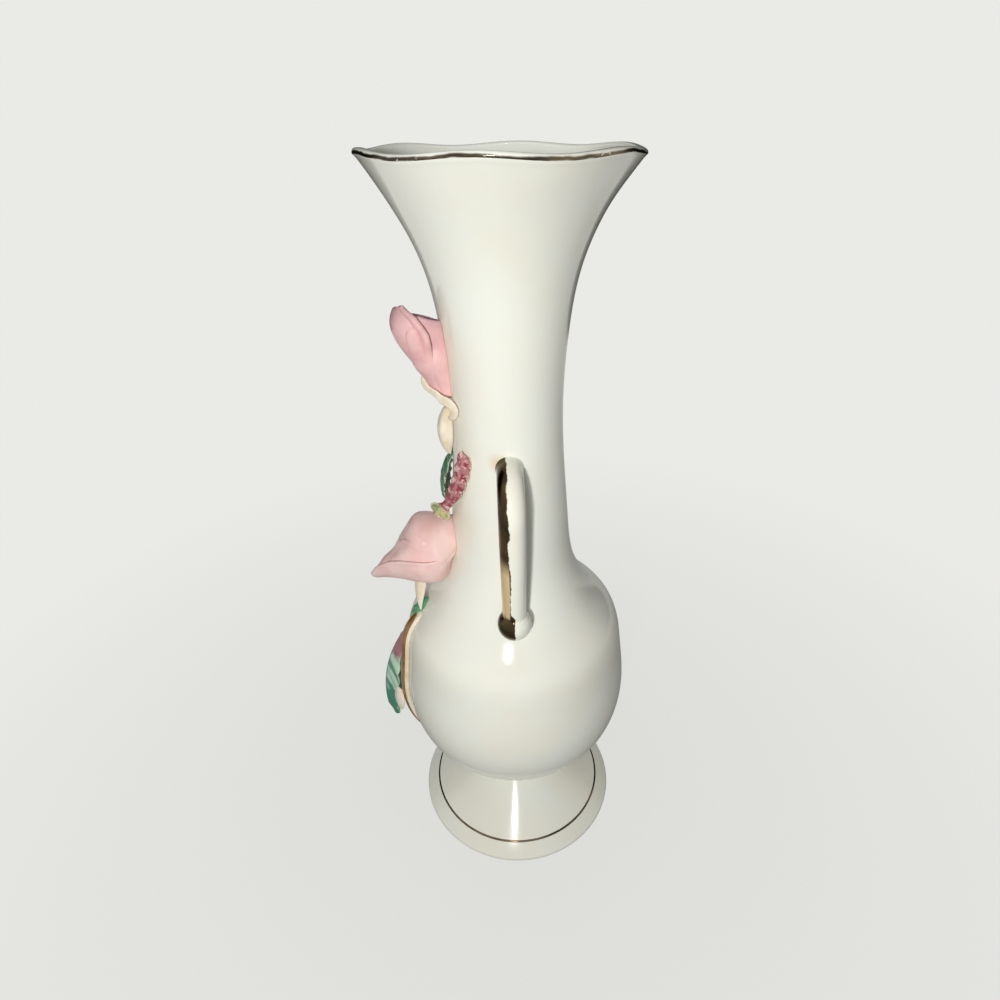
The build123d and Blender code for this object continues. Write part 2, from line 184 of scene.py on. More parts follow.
spot = add_node(
    lathe, "GeometryNodeSampleIndex", {"Geometry": given["Outline"], "Value": place, "Index": row},
    data_type="FLOAT_VECTOR",
)
spot = add_node(lathe, "ShaderNodeSeparateXYZ", {0: spot.outputs["Value"]}).outputs
round_share = sums(lathe, "DIVIDE", column, given["Steps"])
angle = sums(lathe, "MULTIPLY", round_share, 2 * math.pi)
side_x = sums(lathe, "MULTIPLY", spot["X"], sums(lathe, "COSINE", angle))
side_y = sums(lathe, "MULTIPLY", spot["X"], sums(lathe, "SINE", angle))
swing = sums(lathe, "COSINE", sums(lathe, "MULTIPLY", given["Lobes"], sums(
    lathe, "SUBTRACT", angle, given["Wave turn"])))
lift = sums(lathe, "SUBTRACT", sums(lathe, "MULTIPLY", given["Wave"], swing), sums(
    lathe, "MULTIPLY", side_y, given["Tilt"]))
lift = sums(lathe, "MULTIPLY", lift, between(lathe, spot["Z"], given["Wave from"], given["Wave to"]))
target = add_node(lathe, "ShaderNodeCombineXYZ", {0: side_x, 1: side_y, 2: sums(lathe, "ADD", spot["Z"], lift)})
turned = add_node(lathe, "GeometryNodeSetPosition", {"Geometry": grid, "Position": target.outputs[0]})
row_share = sums(lathe, "DIVIDE", row, sums(lathe, "SUBTRACT", rows, 1))
uv = add_node(lathe, "ShaderNodeCombineXYZ", {0: round_share, 1: row_share})
uv = add_node(
    lathe, "GeometryNodeFieldOnDomain", {"Value": uv.outputs[0]}, data_type="FLOAT_VECTOR", domain="POINT")
mapped = add_node(
    lathe, "GeometryNodeStoreNamedAttribute",
    {"Geometry": turned.outputs[0], "Name": "UVMap", "Value": uv.outputs[0]},
    data_type="FLOAT2", domain="CORNER",
)
closed = add_node(lathe, "GeometryNodeMergeByDistance", {"Geometry": mapped.outputs[0], "Distance": 1e-6})
finish_tree(lathe, closed.outputs[0], given["Finish"], result[0])
print("lathe nodes:", len(lathe.nodes))

# %% [markdown]
# ## From nodes to a plain mesh
#
# A finished piece is kept as a plain mesh, with its place in the mesh itself and its faces turned outwards. The
# helper below runs a tree on a row of points, takes the evaluated result, and drops the modifier. A second helper
# says where the piece belongs: it hides the solids that the piece stands for and hangs it on the root body.

# %% Running a tree, and placing a piece
def settle(piece, tree, **inputs):
    """Runs a tree on a piece and keeps the result as its plain mesh, with its faces turned outwards."""
    modifier = piece.modifiers.new(tree.name, "NODES")
    modifier.node_group = tree
    for socket in tree.interface.items_tree:
        label = socket.name.lower().replace(" ", "_")
        if socket.in_out == "INPUT" and label in inputs:
            modifier[socket.identifier] = inputs[label]
    graph = bpy.context.evaluated_depsgraph_get()
    made = bpy.data.meshes.new_from_object(piece.evaluated_get(graph))
    piece.modifiers.clear()
    piece.data = made
    face_outwards(piece)
    return piece


def face_outwards(piece):
    """Merges doubled points and turns every face of a closed piece outwards."""
    shape = bmesh.new()
    shape.from_mesh(piece.data)
    bmesh.ops.remove_doubles(shape, verts=shape.verts, dist=1e-7)
    bmesh.ops.recalc_face_normals(shape, faces=shape.faces)
    shape.to_mesh(piece.data)
    shape.free()


def new_object(name, data):
    """A new object with its data, put into the scene."""
    made = bpy.data.objects.new(name, data)
    bpy.context.scene.collection.objects.link(made)
    return made


def points_piece(name, points):
    """An object whose mesh is a row of points, joined by edges, in millimetres."""
    mesh = bpy.data.meshes.new(name)
    edges = [(k, k + 1) for k in range(len(points) - 1)]
    mesh.from_pydata([Vector(p) * MM for p in points], edges, [])
    return new_object(name, mesh)


def turn_on_lathe(name, outline, finish, shift=(0, 0, 0), **inputs):
    """A turned piece from an outline of radii and heights, with its axis moved by a shift."""
    piece = points_piece(name, [(radius, 0, height) for radius, height in outline])
    settle(piece, lathe, finish=finish, **inputs)
    piece.data.transform(Matrix.Translation(Vector(shift) * MM))
    return piece


def place_piece(piece, slot, *nodes):
    """Says which solid a piece stands for and what it rides on: it hides those solids and hangs the piece on the root
    body. The slot is not used.
    """
    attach(piece, "root")
    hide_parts(*nodes)
    low, high = (Vector(corner) for corner in (piece.bound_box[0], piece.bound_box[6]))
    print(piece.name, len(piece.data.polygons), "faces, from",
          [round(1000 * s, 1) for s in low], "to", [round(1000 * s, 1) for s in high])


print("piece helpers ready")

# %% [markdown]
# ## Ivory glaze
#
# The porcelain is covered with a clear, slightly yellow glaze. It is not one flat colour: it pools a little
# warmer in some places, and its gloss varies where fingers and firing touched it. Noise on Object coordinates
# gives both, because Object coordinates don't stretch on a round body. A rich glaze mirrors more than window glass,
# so its index of refraction is higher. Near the roses and the handles a faint peach tint is painted in as the
# light that the pink petals and the gold bounce onto the glaze, and it fades with the distance from the spot.

# %% Ivory glaze
def paint(red, green, blue):
    """A colour as the eye reads it, from 0 to 255, as the linear colour that a shader needs."""
    values = [c / 255 for c in (red, green, blue)]
    return (*[c / 12.92 if c <= 0.04045 else ((c + 0.055) / 1.055) ** 2.4 for c in values], 1)


def new_finish(name, roughness=0.1, index=1.5):
    """An empty finish with its roughness and index of refraction: its tree and its shader's inputs."""
    material = bpy.data.materials.new(name)
    material.use_nodes = True
    shader = material.node_tree.nodes["Principled BSDF"]
    shader.inputs["Roughness"].default_value = roughness
    shader.inputs["IOR"].default_value = index
    return material, material.node_tree, shader.inputs


def object_place(tree):
    """Object coordinates, in metres."""
    return tree.nodes.new("ShaderNodeTexCoord").outputs["Object"]


def noise(tree, vector, scale, detail=2.0, rough=0.5):
    """Soft noise around one half."""
    inputs = {"Vector": vector, "Scale": scale, "Detail": detail, "Roughness": rough}
    return add_node(tree, "ShaderNodeTexNoise", inputs).outputs[0]


def blend(tree, share, first, second):
    """A colour between two colours."""
    made = add_node(tree, "ShaderNodeMix", {0: share, 6: first, 7: second}, data_type="RGBA")
    return made.outputs[2]


def near(tree, place, spot, reach):
    """How near a place is to a spot given in millimetres: 1 on the spot, 0 beyond its reach."""
    centre = [s * MM for s in spot]
    gap = add_node(tree, "ShaderNodeVectorMath", {0: place, 1: centre}, operation="DISTANCE").outputs["Value"]
    return between(tree, gap, reach * MM, 0.0)


def relief(tree, height, depth):
    """A bump from a height between 0 and 1, as deep as the given millimetres."""
    made = add_node(tree, "ShaderNodeBump", {"Strength": 1.0, "Distance": depth * MM, "Height": height})
    return made.outputs[0]


def scaled(tree, value, low, high, first, last):
    """A value between low and high, carried over to the range from first to last."""
    return add_node(tree, "ShaderNodeMapRange", {0: value, 1: low, 2: high, 3: first, 4: last}).outputs[0]


def fired_surface(tree, shader, place, cloud, gloss, bump, detail, depth):
    """Roughness that drifts within a range, on noise of one scale, and bumps of a depth on noise of another."""
    feed(tree, shader["Roughness"], scaled(tree, noise(tree, place, cloud), 0.3, 0.7, *gloss))
    feed(tree, shader["Normal"], relief(tree, noise(tree, place, bump, detail), depth))


IVORY = paint(236, 237, 226)
IVORY_WARM = paint(235, 233, 217)
# Painted bounce light: the peach that the pink petals and the gold would throw on the glaze, and where it falls.
BOUNCE_PEACH = paint(222, 192, 150)
BOUNCE_SPOTS = (
    ((12.8, -2.6, 129), 3.2, 0.6), ((-12.8, -2.6, 129), 3.2, 0.6), ((4, -14, 150), 18, 0.22),
    ((2, -14, 133), 16, 0.25), ((4, -15, 112), 14, 0.3),
)


def glaze_colour(tree, place):
    """Ivory that varies a little from place to place."""
    return blend(tree, between(tree, noise(tree, place, 45, 3), 0.35, 0.7), IVORY, IVORY_WARM)


def ivory_glaze():
    """The clear warm glaze over the whole body and foot."""
    material, tree, shader = new_finish("Ivory glaze", index=1.65)
    place = object_place(tree)
    colour = glaze_colour(tree, place)
    # Painted bounce light: peach laid on near the roses and the handle roots, fading with distance.
    for spot, reach, strength in BOUNCE_SPOTS:
        share = sums(tree, "MULTIPLY", near(tree, place, spot, reach), strength)
        colour = blend(tree, share, colour, BOUNCE_PEACH)
    feed(tree, shader["Base Color"], colour)
    fired_surface(tree, shader, place, 60, (0.1, 0.18), 260, 1, 0.02)
    return material


glaze = ivory_glaze()
print(glaze.name, len(glaze.node_tree.nodes), "nodes")

# %% [markdown]
# ## The body
#
# The mould gave the body one wall of about 2.8 mm, and the lip was pressed into six low waves while the clay was
# soft. The outline goes up the outside, over a rounded lip and down the inside to the floor. Because the lathe
# closes it on the axis, the body is a real hollow shell that can be looked into from above.

# %% Body of the vase
LIP_TOP, LIP_ROUND, LIP_WALL = 190.15, 0.7, 2.0
FLOOR_UNDER, FLOOR_TOP = 23.2, 26.8
LIP = dict(
    steps=176, lobes=6, wave=0.35 * MM, wave_turn=math.radians(-10), tilt=math.tan(math.radians(1.3)),
    wave_from=178 * MM, wave_to=LIP_TOP * MM,
)


def arc(centre, radius, first, last, count=9):
    """Points on a round corner of an outline, from one angle to another in degrees."""
    angles = np.radians(np.linspace(first, last, count))
    return np.stack([centre[0] + radius * np.cos(angles), centre[1] + radius * np.sin(angles)], axis=1)


def lip_corner(side, grow):
    """Round corner of the lip on its outer (1) or inner (-1) side, grown by a skin."""
    radius = float(wall_radius(LIP_TOP - LIP_ROUND)) - (0 if side > 0 else LIP_WALL)
    centre = (radius - side * LIP_ROUND, LIP_TOP - LIP_ROUND)
    angles = (-20, 90) if side > 0 else (90, 160)
    return arc(centre, LIP_ROUND + grow, *angles)


inner_stations = [(r - WALL, z) for r, z in STATIONS[2:-1]]
inner_top = (STATIONS[-1][0] - LIP_WALL, STATIONS[-1][1])
inner_wall = smooth_line([(9.8, FLOOR_TOP), (18.35, 30.4), *inner_stations, inner_top], 160)
below_lip = LIP_TOP - LIP_ROUND - 0.3
body_outline = np.concatenate([
    [(0, FLOOR_UNDER), (11.8, FLOOR_UNDER)],
    outer_wall[outer_wall[:, 1] < below_lip],
    lip_corner(1, 0),
    lip_corner(-1, 0),
    inner_wall[inner_wall[:, 1] < below_lip][::-1],
    [(0, FLOOR_TOP)],
])
vase_body = turn_on_lathe("vase_body_glazed", body_outline, glaze, **LIP)
place_piece(vase_body, "ivory_glaze", "vase_body")

# %% [markdown]
# ## Gilding
#
# The gold was brushed on over the fired glaze and fired again, so it is a film with no thickness of its own, worn
# through in places. On the handles, the lip and the foot its colour is set dark, a painted reflection of a dark
# room, and low on each handle a pale tan is painted in as the gold's reflection of the bright glaze beside it. A film
# is made as a second skin a few hundredths of a millimetre over the glaze. One finish serves all of it: a mask
# decides where the brush went, and colour and metal follow the mask.

# %% Gilding
# Painted reflection: the handle and lip golds are set dark, as gold mirroring a dark room looks.
HANDLE_GOLD_DARK_REFLECTION = paint(66, 56, 40), paint(112, 93, 60)
LIP_GOLD_DARK_REFLECTION = paint(72, 66, 56), paint(118, 104, 82)
STEM_GOLD = paint(140, 98, 48), paint(190, 146, 80)
# Painted reflection: a pale tan that stands for gold mirroring the bright glaze beside it.
GOLD_TAN_REFLECTION = paint(216, 190, 142)


def gilded(name, golds, brushed, worn, tan_reflection=None, shine=None):
    """Gold over ivory glaze. The brushed function gives the share of gold, and the second one the share of a painted
    tan reflection.

    The shine is how much of the gold is metal, where that isn't all of it.
    """
    material, tree, shader = new_finish(name)
    place = object_place(tree)
    # Noise mixes the two golds. On the handles, the lip and the foot both are dark, a painted reflection of a dark
    # room.
    gold = blend(tree, between(tree, noise(tree, place, 120, 4), 0.4, 0.7), *golds)
    wear = between(tree, noise(tree, place, 700, 4, 0.7), worn, worn + 0.12)
    mask = sums(tree, "MULTIPLY", brushed(tree, place), wear)
    metal = sums(tree, "MULTIPLY", mask, shine) if shine else mask
    # Painted reflection: a pale tan, with less metal, where the gold would mirror the bright glaze.
    if tan_reflection:
        painted_tan = tan_reflection(tree, place)
        gold = blend(tree, painted_tan, gold, GOLD_TAN_REFLECTION)
        metal = sums(tree, "MULTIPLY", mask, sums(tree, "SUBTRACT", 1.0, sums(tree, "MULTIPLY", painted_tan, 0.8)))
    feed(tree, shader["Base Color"], blend(tree, mask, glaze_colour(tree, place), gold))
    feed(tree, shader["Metallic"], metal)
    feed(tree, shader["Roughness"], scaled(tree, noise(tree, place, 300, 3), 0.0, 1.0, 0.06, 0.2))
    feed(tree, shader["Normal"], relief(tree, noise(tree, place, 260, 2), 0.03))
    return material


def waver(tree, place, scale, detail, width):
    """Noise around zero, as wide as a width, for the edge of a brush stroke."""
    return sums(tree, "MULTIPLY", sums(tree, "SUBTRACT", noise(tree, place, scale, detail), 0.5), width)


def uv_shares(tree):
    """The two coordinates of a piece's own UV map."""
    place = tree.nodes.new("ShaderNodeTexCoord").outputs["UV"]
    return add_node(tree, "ShaderNodeSeparateXYZ", {0: place}).outputs


def lip_brush(tree, place):
    """Gold on the outer corner of the lip, with a ragged edge on the top."""
    edge = sums(tree, "ADD", uv_shares(tree)["Y"], waver(tree, place, 160, 3, 0.3))
    return sums(tree, "MULTIPLY", between(tree, edge, 0.05, 0.12), between(tree, edge, 0.3, 0.2))


GILT_SKIN, GILT_EDGE, GILT_ROOT = 0.05, LIP_TOP - 0.95, LIP_TOP - 1.1
lip_foot = (float(wall_radius(GILT_ROOT)) - 0.8, GILT_ROOT)
lip_outline = np.concatenate([
    [lip_foot],
    [(float(wall_radius(GILT_EDGE)) + GILT_SKIN, GILT_EDGE)],
    lip_corner(1, GILT_SKIN),
    lip_corner(-1, GILT_SKIN),
    [lip_foot],
])
lip_gilding = turn_on_lathe("lip_gilding", lip_outline, gilded("Lip gilding", LIP_GOLD_DARK_REFLECTION, lip_brush, 0.27), **LIP)
place_piece(lip_gilding, "gilding", "rim_gilding")

# %% [markdown]
# ## The pedestal foot
#
# The foot was cast on its own and joined to the globe with slip. It is hollow underneath and stands on a narrow
# ring. Its corners are soft because glaze gathers there, so a helper rounds each corner of a plain outline before
# the lathe turns it.

# %% Pedestal foot and its gilt line
def bowed(start, pull, end, count):
    """Points on a curve that leaves one end towards a pull and comes to the other end from it."""
    t = np.linspace(0, 1, count)[:, None]
    return (1 - t) ** 2 * start + 2 * t * (1 - t) * pull + t ** 2 * end


def rounded(corners, cuts):
    """An outline with each corner rounded off, cut back by a length on both sides."""
    corners = np.array(corners, float)
    line = [corners[0]]
    for before, corner, after, cut in zip(corners, corners[1:], corners[2:], cuts):
        start = corner + (before - corner) / np.linalg.norm(before - corner) * cut
        end = corner + (after - corner) / np.linalg.norm(after - corner) * cut
        line.extend(bowed(start, corner, end, 6))
    return np.array([*line, corners[-1]])


FOOT_TOP = np.array([12.6, 23.15])
CONE_TOP, CONE_LINE = np.array([12.4, 14.0]), np.array([27.4, 4.2])
waist = bowed(FOOT_TOP, CONE_TOP + 0.2 * (CONE_TOP - CONE_LINE), CONE_TOP, 24)
skirt = rounded(
    [CONE_TOP, CONE_LINE, (30.8, 1.9), (29.6, 0), (26.0, 0), (24.2, 1.9), (6, 11), (0, 11)],
    [0.7, 0.9, 0.5, 0.3, 0.6, 1.5],
)
foot_outline = np.concatenate([[(0, FOOT_TOP[1])], waist, skirt[1:]])
pedestal_foot = turn_on_lathe("pedestal_foot_glazed", foot_outline, glaze)
place_piece(pedestal_foot, "ivory_glaze", "pedestal_foot")


def whole_brush(tree, place):
    """Gold everywhere, a little thinner in places."""
    return between(tree, noise(tree, place, 90, 2), 0.1, 0.3)


slope = (CONE_TOP - CONE_LINE) / np.linalg.norm(CONE_TOP - CONE_LINE)
ring_inner, ring_outer = CONE_LINE + slope * 1.35, CONE_LINE + slope * 0.75
skin = np.array([-slope[1], slope[0]]) * -GILT_SKIN
shoulder, corner = 0.7 * skin, 0.04 * slope
line_outline = np.array([
    ring_inner, ring_outer, ring_outer + shoulder, ring_outer + corner + skin, ring_inner - corner + skin,
    ring_inner + shoulder, ring_inner])
foot_gilding = turn_on_lathe("foot_gilt_line", line_outline, gilded("Foot gilding", LIP_GOLD_DARK_REFLECTION, whole_brush, 0.2))
place_piece(foot_gilding, "gilding", "foot_gilding")

# %% [markdown]
# ## A rod made of nodes
#
# A handle is a rolled rod of clay, bent while soft. A rod follows a path, which is just what a sweep in Geometry
# Nodes does: the path becomes a curve, and a circle is swept along it. The circle's scale swells a little at the
# root, where the clay was pressed onto the neck, and narrows towards the lower end.

# %% Geometry Nodes tree of the rod
rod_tree, given, result = new_tree("Rolled rod", [
    ("Radius", "Float", 0.003), ("Swell", "Float", 0.1), ("Swell length", "Float", 0.002),
    ("Narrowing", "Float", 0.06), ("Sides", "Int", 40), ("Rings", "Int", 90), ("Finish", "Material", None),
])
path = add_node(rod_tree, "GeometryNodeMeshToCurve", {0: given["Outline"]})
path = add_node(rod_tree, "GeometryNodeResampleCurve", {"Curve": path.outputs[0], "Count": given["Rings"]})
along = rod_tree.nodes.new("GeometryNodeSplineParameter").outputs
swell = sums(rod_tree, "MULTIPLY", given["Swell"], between(rod_tree, along["Length"], given["Swell length"], 0.0))
narrow = sums(rod_tree, "MULTIPLY", given["Narrowing"], between(rod_tree, along["Factor"], 0.45, 0.95))
thick = sums(rod_tree, "MULTIPLY", given["Radius"], sums(
    rod_tree, "SUBTRACT", sums(rod_tree, "ADD", 1.0, swell), narrow))
circle = add_node(rod_tree, "GeometryNodeCurvePrimitiveCircle", {"Resolution": given["Sides"], "Radius": 1.0})
swept = add_node(rod_tree, "GeometryNodeCurveToMesh", {
    "Curve": path.outputs[0], "Profile Curve": circle.outputs[0], "Scale": thick, "Fill Caps": True})
finish_tree(rod_tree, swept.outputs[0], given["Finish"], result[0])
print("rod nodes:", len(rod_tree.nodes))

# %% [markdown]
# ## Ear handles
#
# Each handle leaves the neck level, bends down and ends in a ball of clay. The gold was brushed over the half that
# faces the flowers and left ragged, so the mask reads the depth of a point and adds noise to it. On the lower part
# of the rod a pale tan is painted over the gold, as its reflection of the bright glaze beside it, with less metal.

# %% Handles and balls
ROD_RADIUS = 3.05
HANDLE_TOP, HANDLE_OUT, HANDLE_BEND = 127.5, 22.95, 8.5
BALL = (22.19, 0.0, 89.85)
BALL_RADIUS = 4.15


def handle_brush(tree, place):
    """Gold on the half of a handle that faces the flowers, with a ragged edge."""
    spot = add_node(tree, "ShaderNodeSeparateXYZ", {0: place}).outputs
    on_rod = sums(tree, "MULTIPLY", between(tree, spot["Z"], 93 * MM, 96 * MM), 1.0 * MM)
    depth = sums(tree, "ADD", sums(tree, "ADD", spot["Y"], waver(tree, place, 260, 4, 2.0 * MM)), on_rod)
    return between(tree, depth, 0.3 * MM, 0.05 * MM)


def handle_tan_reflection(tree, place):
    """Where a pale tan is painted on the lower end of the rod, above the ball, as the gold's reflection of the bright
    glaze.
    """
    spot = add_node(tree, "ShaderNodeSeparateXYZ", {0: place}).outputs
    stray = noise(tree, place, 200, 2)
    height = sums(tree, "ADD", spot["Z"], sums(tree, "MULTIPLY", stray, 4 * MM))
    depth = sums(tree, "ADD", spot["Y"], sums(tree, "MULTIPLY", stray, 0.8 * MM))
    above_ball, below_bend = between(tree, height, 95 * MM, 97 * MM), between(tree, height, 114 * MM, 108 * MM)
    lower = sums(tree, "MULTIPLY", above_ball, below_bend)
    return sums(tree, "MULTIPLY", lower, between(tree, depth, -0.4 * MM, -0.7 * MM))


handle_gilt = gilded("Handle gilding", HANDLE_GOLD_DARK_REFLECTION, handle_brush, 0.22, handle_tan_reflection)
bend = arc((HANDLE_OUT - HANDLE_BEND, HANDLE_TOP - HANDLE_BEND), HANDLE_BEND, 90, 0, 24)
handle_line = [(12.4, HANDLE_TOP), *bend, (22.75, 105), (BALL[0] + 0.1, BALL[2] + 2.5)]
for side, label in ((1, "right"), (-1, "left")):
    handle = points_piece(f"handle_{label}_gilded", [(side * x, 0, z) for x, z in handle_line])
    settle(handle, rod_tree, radius=ROD_RADIUS * MM, finish=handle_gilt)
    place_piece(handle, "handle_glaze", f"handle_{label}")
    round_outline = arc((0, 0), BALL_RADIUS, 90, -90, 40)
    ball = turn_on_lathe(
        f"handle_ball_{label}_gilded", round_outline, handle_gilt, (side * BALL[0], 0, BALL[2]), steps=64)
    place_piece(ball, "handle_glaze", f"handle_ball_{label}")

# %% [markdown]
# ## Sheets of clay
#
# Petals, sepals and leaves were pinched from thin sheets of porcelain clay, so they are thickest in the middle and
# thin and soft at the edge. Each one starts as a grid of points on its middle surface. The helper below moves a
# copy of the grid to each side along the surface's own direction, less and less towards the border, and joins
# the two: the border comes out rounded, with no modifier. Points that would be inside the vase's wall are moved
# out to it, because soft clay pressed against a wall flattens.

# %% Closed sheets from grids
def around(turn):
    """Direction out from the axis at a turn, in degrees from the front towards the right."""
    turn = np.radians(turn)
    return np.stack([np.sin(turn), -np.cos(turn), 0 * turn], axis=-1)


def wall_point(turn, height, clear):
    """Points at turns and heights, some way off the outer wall."""
    reach = np.asarray(wall_radius(height) + clear)[..., None]
    return around(turn) * reach + np.asarray(height)[..., None] * np.array([0, 0, 1])


WALL_GAP = 0.02


def keep_off_wall(points):
    """Moves points that are inside the wall straight out to it."""
    reach = np.hypot(points[..., 0], points[..., 1])
    least = wall_radius(points[..., 2]) + WALL_GAP
    points[..., :2] *= np.maximum(least / np.maximum(reach, 1e-6), 1)[..., None]
    return points


def border_gap(middle):
    """Distance of each point of a grid to its nearest border, along the grid's lines."""
    across = np.linalg.norm(np.diff(middle, axis=1), axis=2)
    across = np.concatenate([np.zeros((len(middle), 1)), np.cumsum(across, axis=1)], axis=1)
    along = np.linalg.norm(np.diff(middle, axis=0), axis=2)
    along = np.concatenate([np.zeros((1, middle.shape[1])), np.cumsum(along, axis=0)], axis=0)
    sides = np.minimum(across, across[:, -1:] - across)
    ends = np.minimum(along, along[-1:] - along)
    return np.minimum(sides, ends)


def two_sided(name, top, bottom, finish):
    """A closed piece with its UV map, from two grids of points in millimetres that meet along their border."""
    rows, columns = top.shape[:2]
    corner = np.arange(rows * columns).reshape(rows, columns)
    quads = np.stack([corner[:-1, :-1], corner[:-1, 1:], corner[1:, 1:], corner[1:, :-1]], axis=-1).reshape(-1, 4)
    faces = np.concatenate([quads, quads[:, ::-1] + rows * columns])
    points = np.concatenate([top, bottom]).reshape(-1, 3) * MM
    mesh = bpy.data.meshes.new(name)
    mesh.from_pydata(points.tolist(), [], faces.tolist())
    share = np.stack(np.meshgrid(np.linspace(0, 1, columns), np.linspace(0, 1, rows)), axis=-1).reshape(-1, 2)
    share = np.concatenate([share, share])
    layer = mesh.uv_layers.new(name="UVMap")
    used = np.zeros(len(mesh.loops), np.int32)
    mesh.loops.foreach_get("vertex_index", used)
    layer.data.foreach_set("uv", share[used].ravel())
    piece = new_object(name, mesh)
    face_outwards(piece)
    piece.data.shade_smooth()
    piece.data.materials.append(finish)
    return piece


def clay_sheet(name, middle, thickness, outward, finish):
    """A closed sheet round a grid of points in millimetres, rounded off along its border."""
    normal = np.cross(np.gradient(middle, axis=0), np.gradient(middle, axis=1))
    normal /= np.maximum(np.linalg.norm(normal, axis=2, keepdims=True), 1e-9)
    if np.sum(normal * outward) < 0:
        normal = -normal
    inside = np.clip(border_gap(middle) / (0.8 * thickness), 0, 1)
    half = (thickness / 2 * np.sqrt(1 - (1 - inside) ** 2))[..., None]
    return two_sided(name, keep_off_wall(middle + normal * half), keep_off_wall(middle - normal * half), finish)


def ramp(value, low, high):
    """A soft step from 0 at low to 1 at high."""
    share = np.clip((value - low) / (high - low), 0, 1)
    return share * share * (3 - 2 * share)


def dense_ends(count):
    """Shares from 0 to 1, closer together near both ends."""
    return (1 - np.cos(np.linspace(0, math.pi, count))) / 2


print("sheets ready")

# %% [markdown]
# ## Pink glaze
#
# The roses were sprayed with a pale pink under the clear glaze. Noise clouds it between a lighter and a deeper
# pink, and towards the edges of each petal and towards its top a greyish mauve is painted in as shade. The UV map
# of each petal says how far a point is from its border, and noise on Object coordinates breaks up the fade.

# %% Pink glaze
# The third colour of each is a greyish mauve, painted in as shade.
UPPER_PINK = paint(238, 193, 190), paint(224, 172, 172), paint(190, 150, 155)
LOWER_PINK = paint(246, 212, 205), paint(234, 190, 185), paint(212, 188, 184)


def edge_share(tree, share):
    """0 in the middle of a sheet and 1 at its two edges, across one coordinate of the map."""
    return sums(tree, "ABSOLUTE", sums(tree, "SUBTRACT", sums(tree, "MULTIPLY", share, 2.0), 1.0))


def pink_glaze(name, light, deep, shade_mauve):
    """Pale pink under a clear glaze, deeper in clouds, with a mauve painted in as shade at the edges and the top."""
    material, tree, shader = new_finish(name)
    place = object_place(tree)
    shares = uv_shares(tree)
    cloud = noise(tree, place, 160, 3)
    colour = blend(tree, between(tree, cloud, 0.35, 0.7), light, deep)
    # Painted shade: mauve towards the petal's two edges and its top.
    edge = sums(tree, "ADD", edge_share(tree, shares["X"]), sums(tree, "MULTIPLY", cloud, 0.12))
    top = sums(tree, "ADD", shares["Y"], sums(tree, "MULTIPLY", cloud, 0.12))
    edge = sums(tree, "MAXIMUM", between(tree, edge, 0.93, 1.05), between(tree, top, 0.62, 1.0))
    colour = blend(tree, sums(tree, "MULTIPLY", edge, 0.8), colour, shade_mauve)
    feed(tree, shader["Base Color"], colour)
    fired_surface(tree, shader, place, 220, (0.24, 0.42), 420, 3, 0.05)
    return material


upper_pink = pink_glaze("Upper rose glaze", *UPPER_PINK)
lower_pink = pink_glaze("Lower rose glaze", *LOWER_PINK)
print(upper_pink.name, len(upper_pink.node_tree.nodes), "nodes")

# %% [markdown]
# ## A petal by its edges
#
# A petal is wrapped round its bud, so it is easiest to describe by its angle round the bud and its level up the
# bud's axis. Its two edges, its top, and how far it stands off the bud are given in those two numbers. The helper
# fills the space between the edges with a grid of points, and makes a sheet of clay from it.

# %% Buds and petals
def bud_frame(turn, height, clear, rise, girth, finish):
    """Base, axes, girth and finish of a bud on the wall. Its axis rises from the level by an angle in degrees."""
    base = wall_point(turn, height, clear)
    axis = around(turn) * math.cos(math.radians(rise)) + np.array([0, 0, math.sin(math.radians(rise))])
    side = np.cross(axis, [0, 0, 1])
    side *= np.sign(side[0]) / np.linalg.norm(side)
    return base, side, np.cross(axis, side), axis, girth, finish


def on_bud(bud, angle, level, radius):
    """Points at angles in degrees, levels and radii of a bud."""
    base, side, other, axis, *_ = bud
    angle = np.radians(angle)
    flat = np.cos(angle)[..., None] * side + np.sin(angle)[..., None] * other
    return base + radius[..., None] * flat + level[..., None] * axis


def line_of(*pairs):
    """A line through pairs of values, as a function."""
    first, second = zip(*pairs)
    return lambda value: np.interp(value, first, second)


def girth_of(levels, radii):
    """The radius of a bud at any level, from a smooth line through a few."""
    return line_of(*smooth_line(list(zip(levels, radii)), 80))


def petal(name, bud, left, right, base, top, lift, thickness=1.0, rows=76, columns=96, finish=None):
    """A petal between two edges. Its lift gives how far it stands off the bud's girth."""
    girth, bud_finish = bud[4:]
    across, up = np.meshgrid(dense_ends(columns), dense_ends(rows))
    level = base + (top(across) - base) * up
    angle = left(level) + (right(level) - left(level)) * across
    radius = girth(level)
    radius = radius - thickness / 2 + lift(angle, level, np.radians(right(level) - angle) * radius, across, up)
    middle = on_bud(bud, angle, level, np.maximum(radius, 0.2))
    outward = on_bud(bud, angle, level * 0, np.ones_like(radius)) - bud[0]
    return clay_sheet(name, middle, thickness, outward, finish or bud_finish)


print("petal helper ready")

# %% [markdown]
# ## The upper rosebud
#
# This bud stands up from the neck. One wide petal is wrapped round its outside like a hood, with a tongue pressed
# on and a rolled edge that runs slanting down the side. Two smaller petals close the bud towards the neck.

# %% Upper rosebud
upper_girth = girth_of((0, 2.2, 4.84, 10.56, 16.5, 19.8, 22), (2.72, 3.13, 3.67, 5.3, 6.8, 6.39, 4.76))
upper_bud = bud_frame(3.0, 141.0, 0.3, 75.0, upper_girth, upper_pink)
hood_right = line_of(
    (0, 2), (8, 4), (11.2, 5), (13.5, 8), (16, 10), (18, 6), (20, 0), (21, -8), (22, -20), (23, -27))
tongue_left = line_of(
    (5, -110), (7, -95), (8.5, -78), (10.5, -52), (12.7, -39), (15.2, -34), (17.2, -28), (18.4, -16))


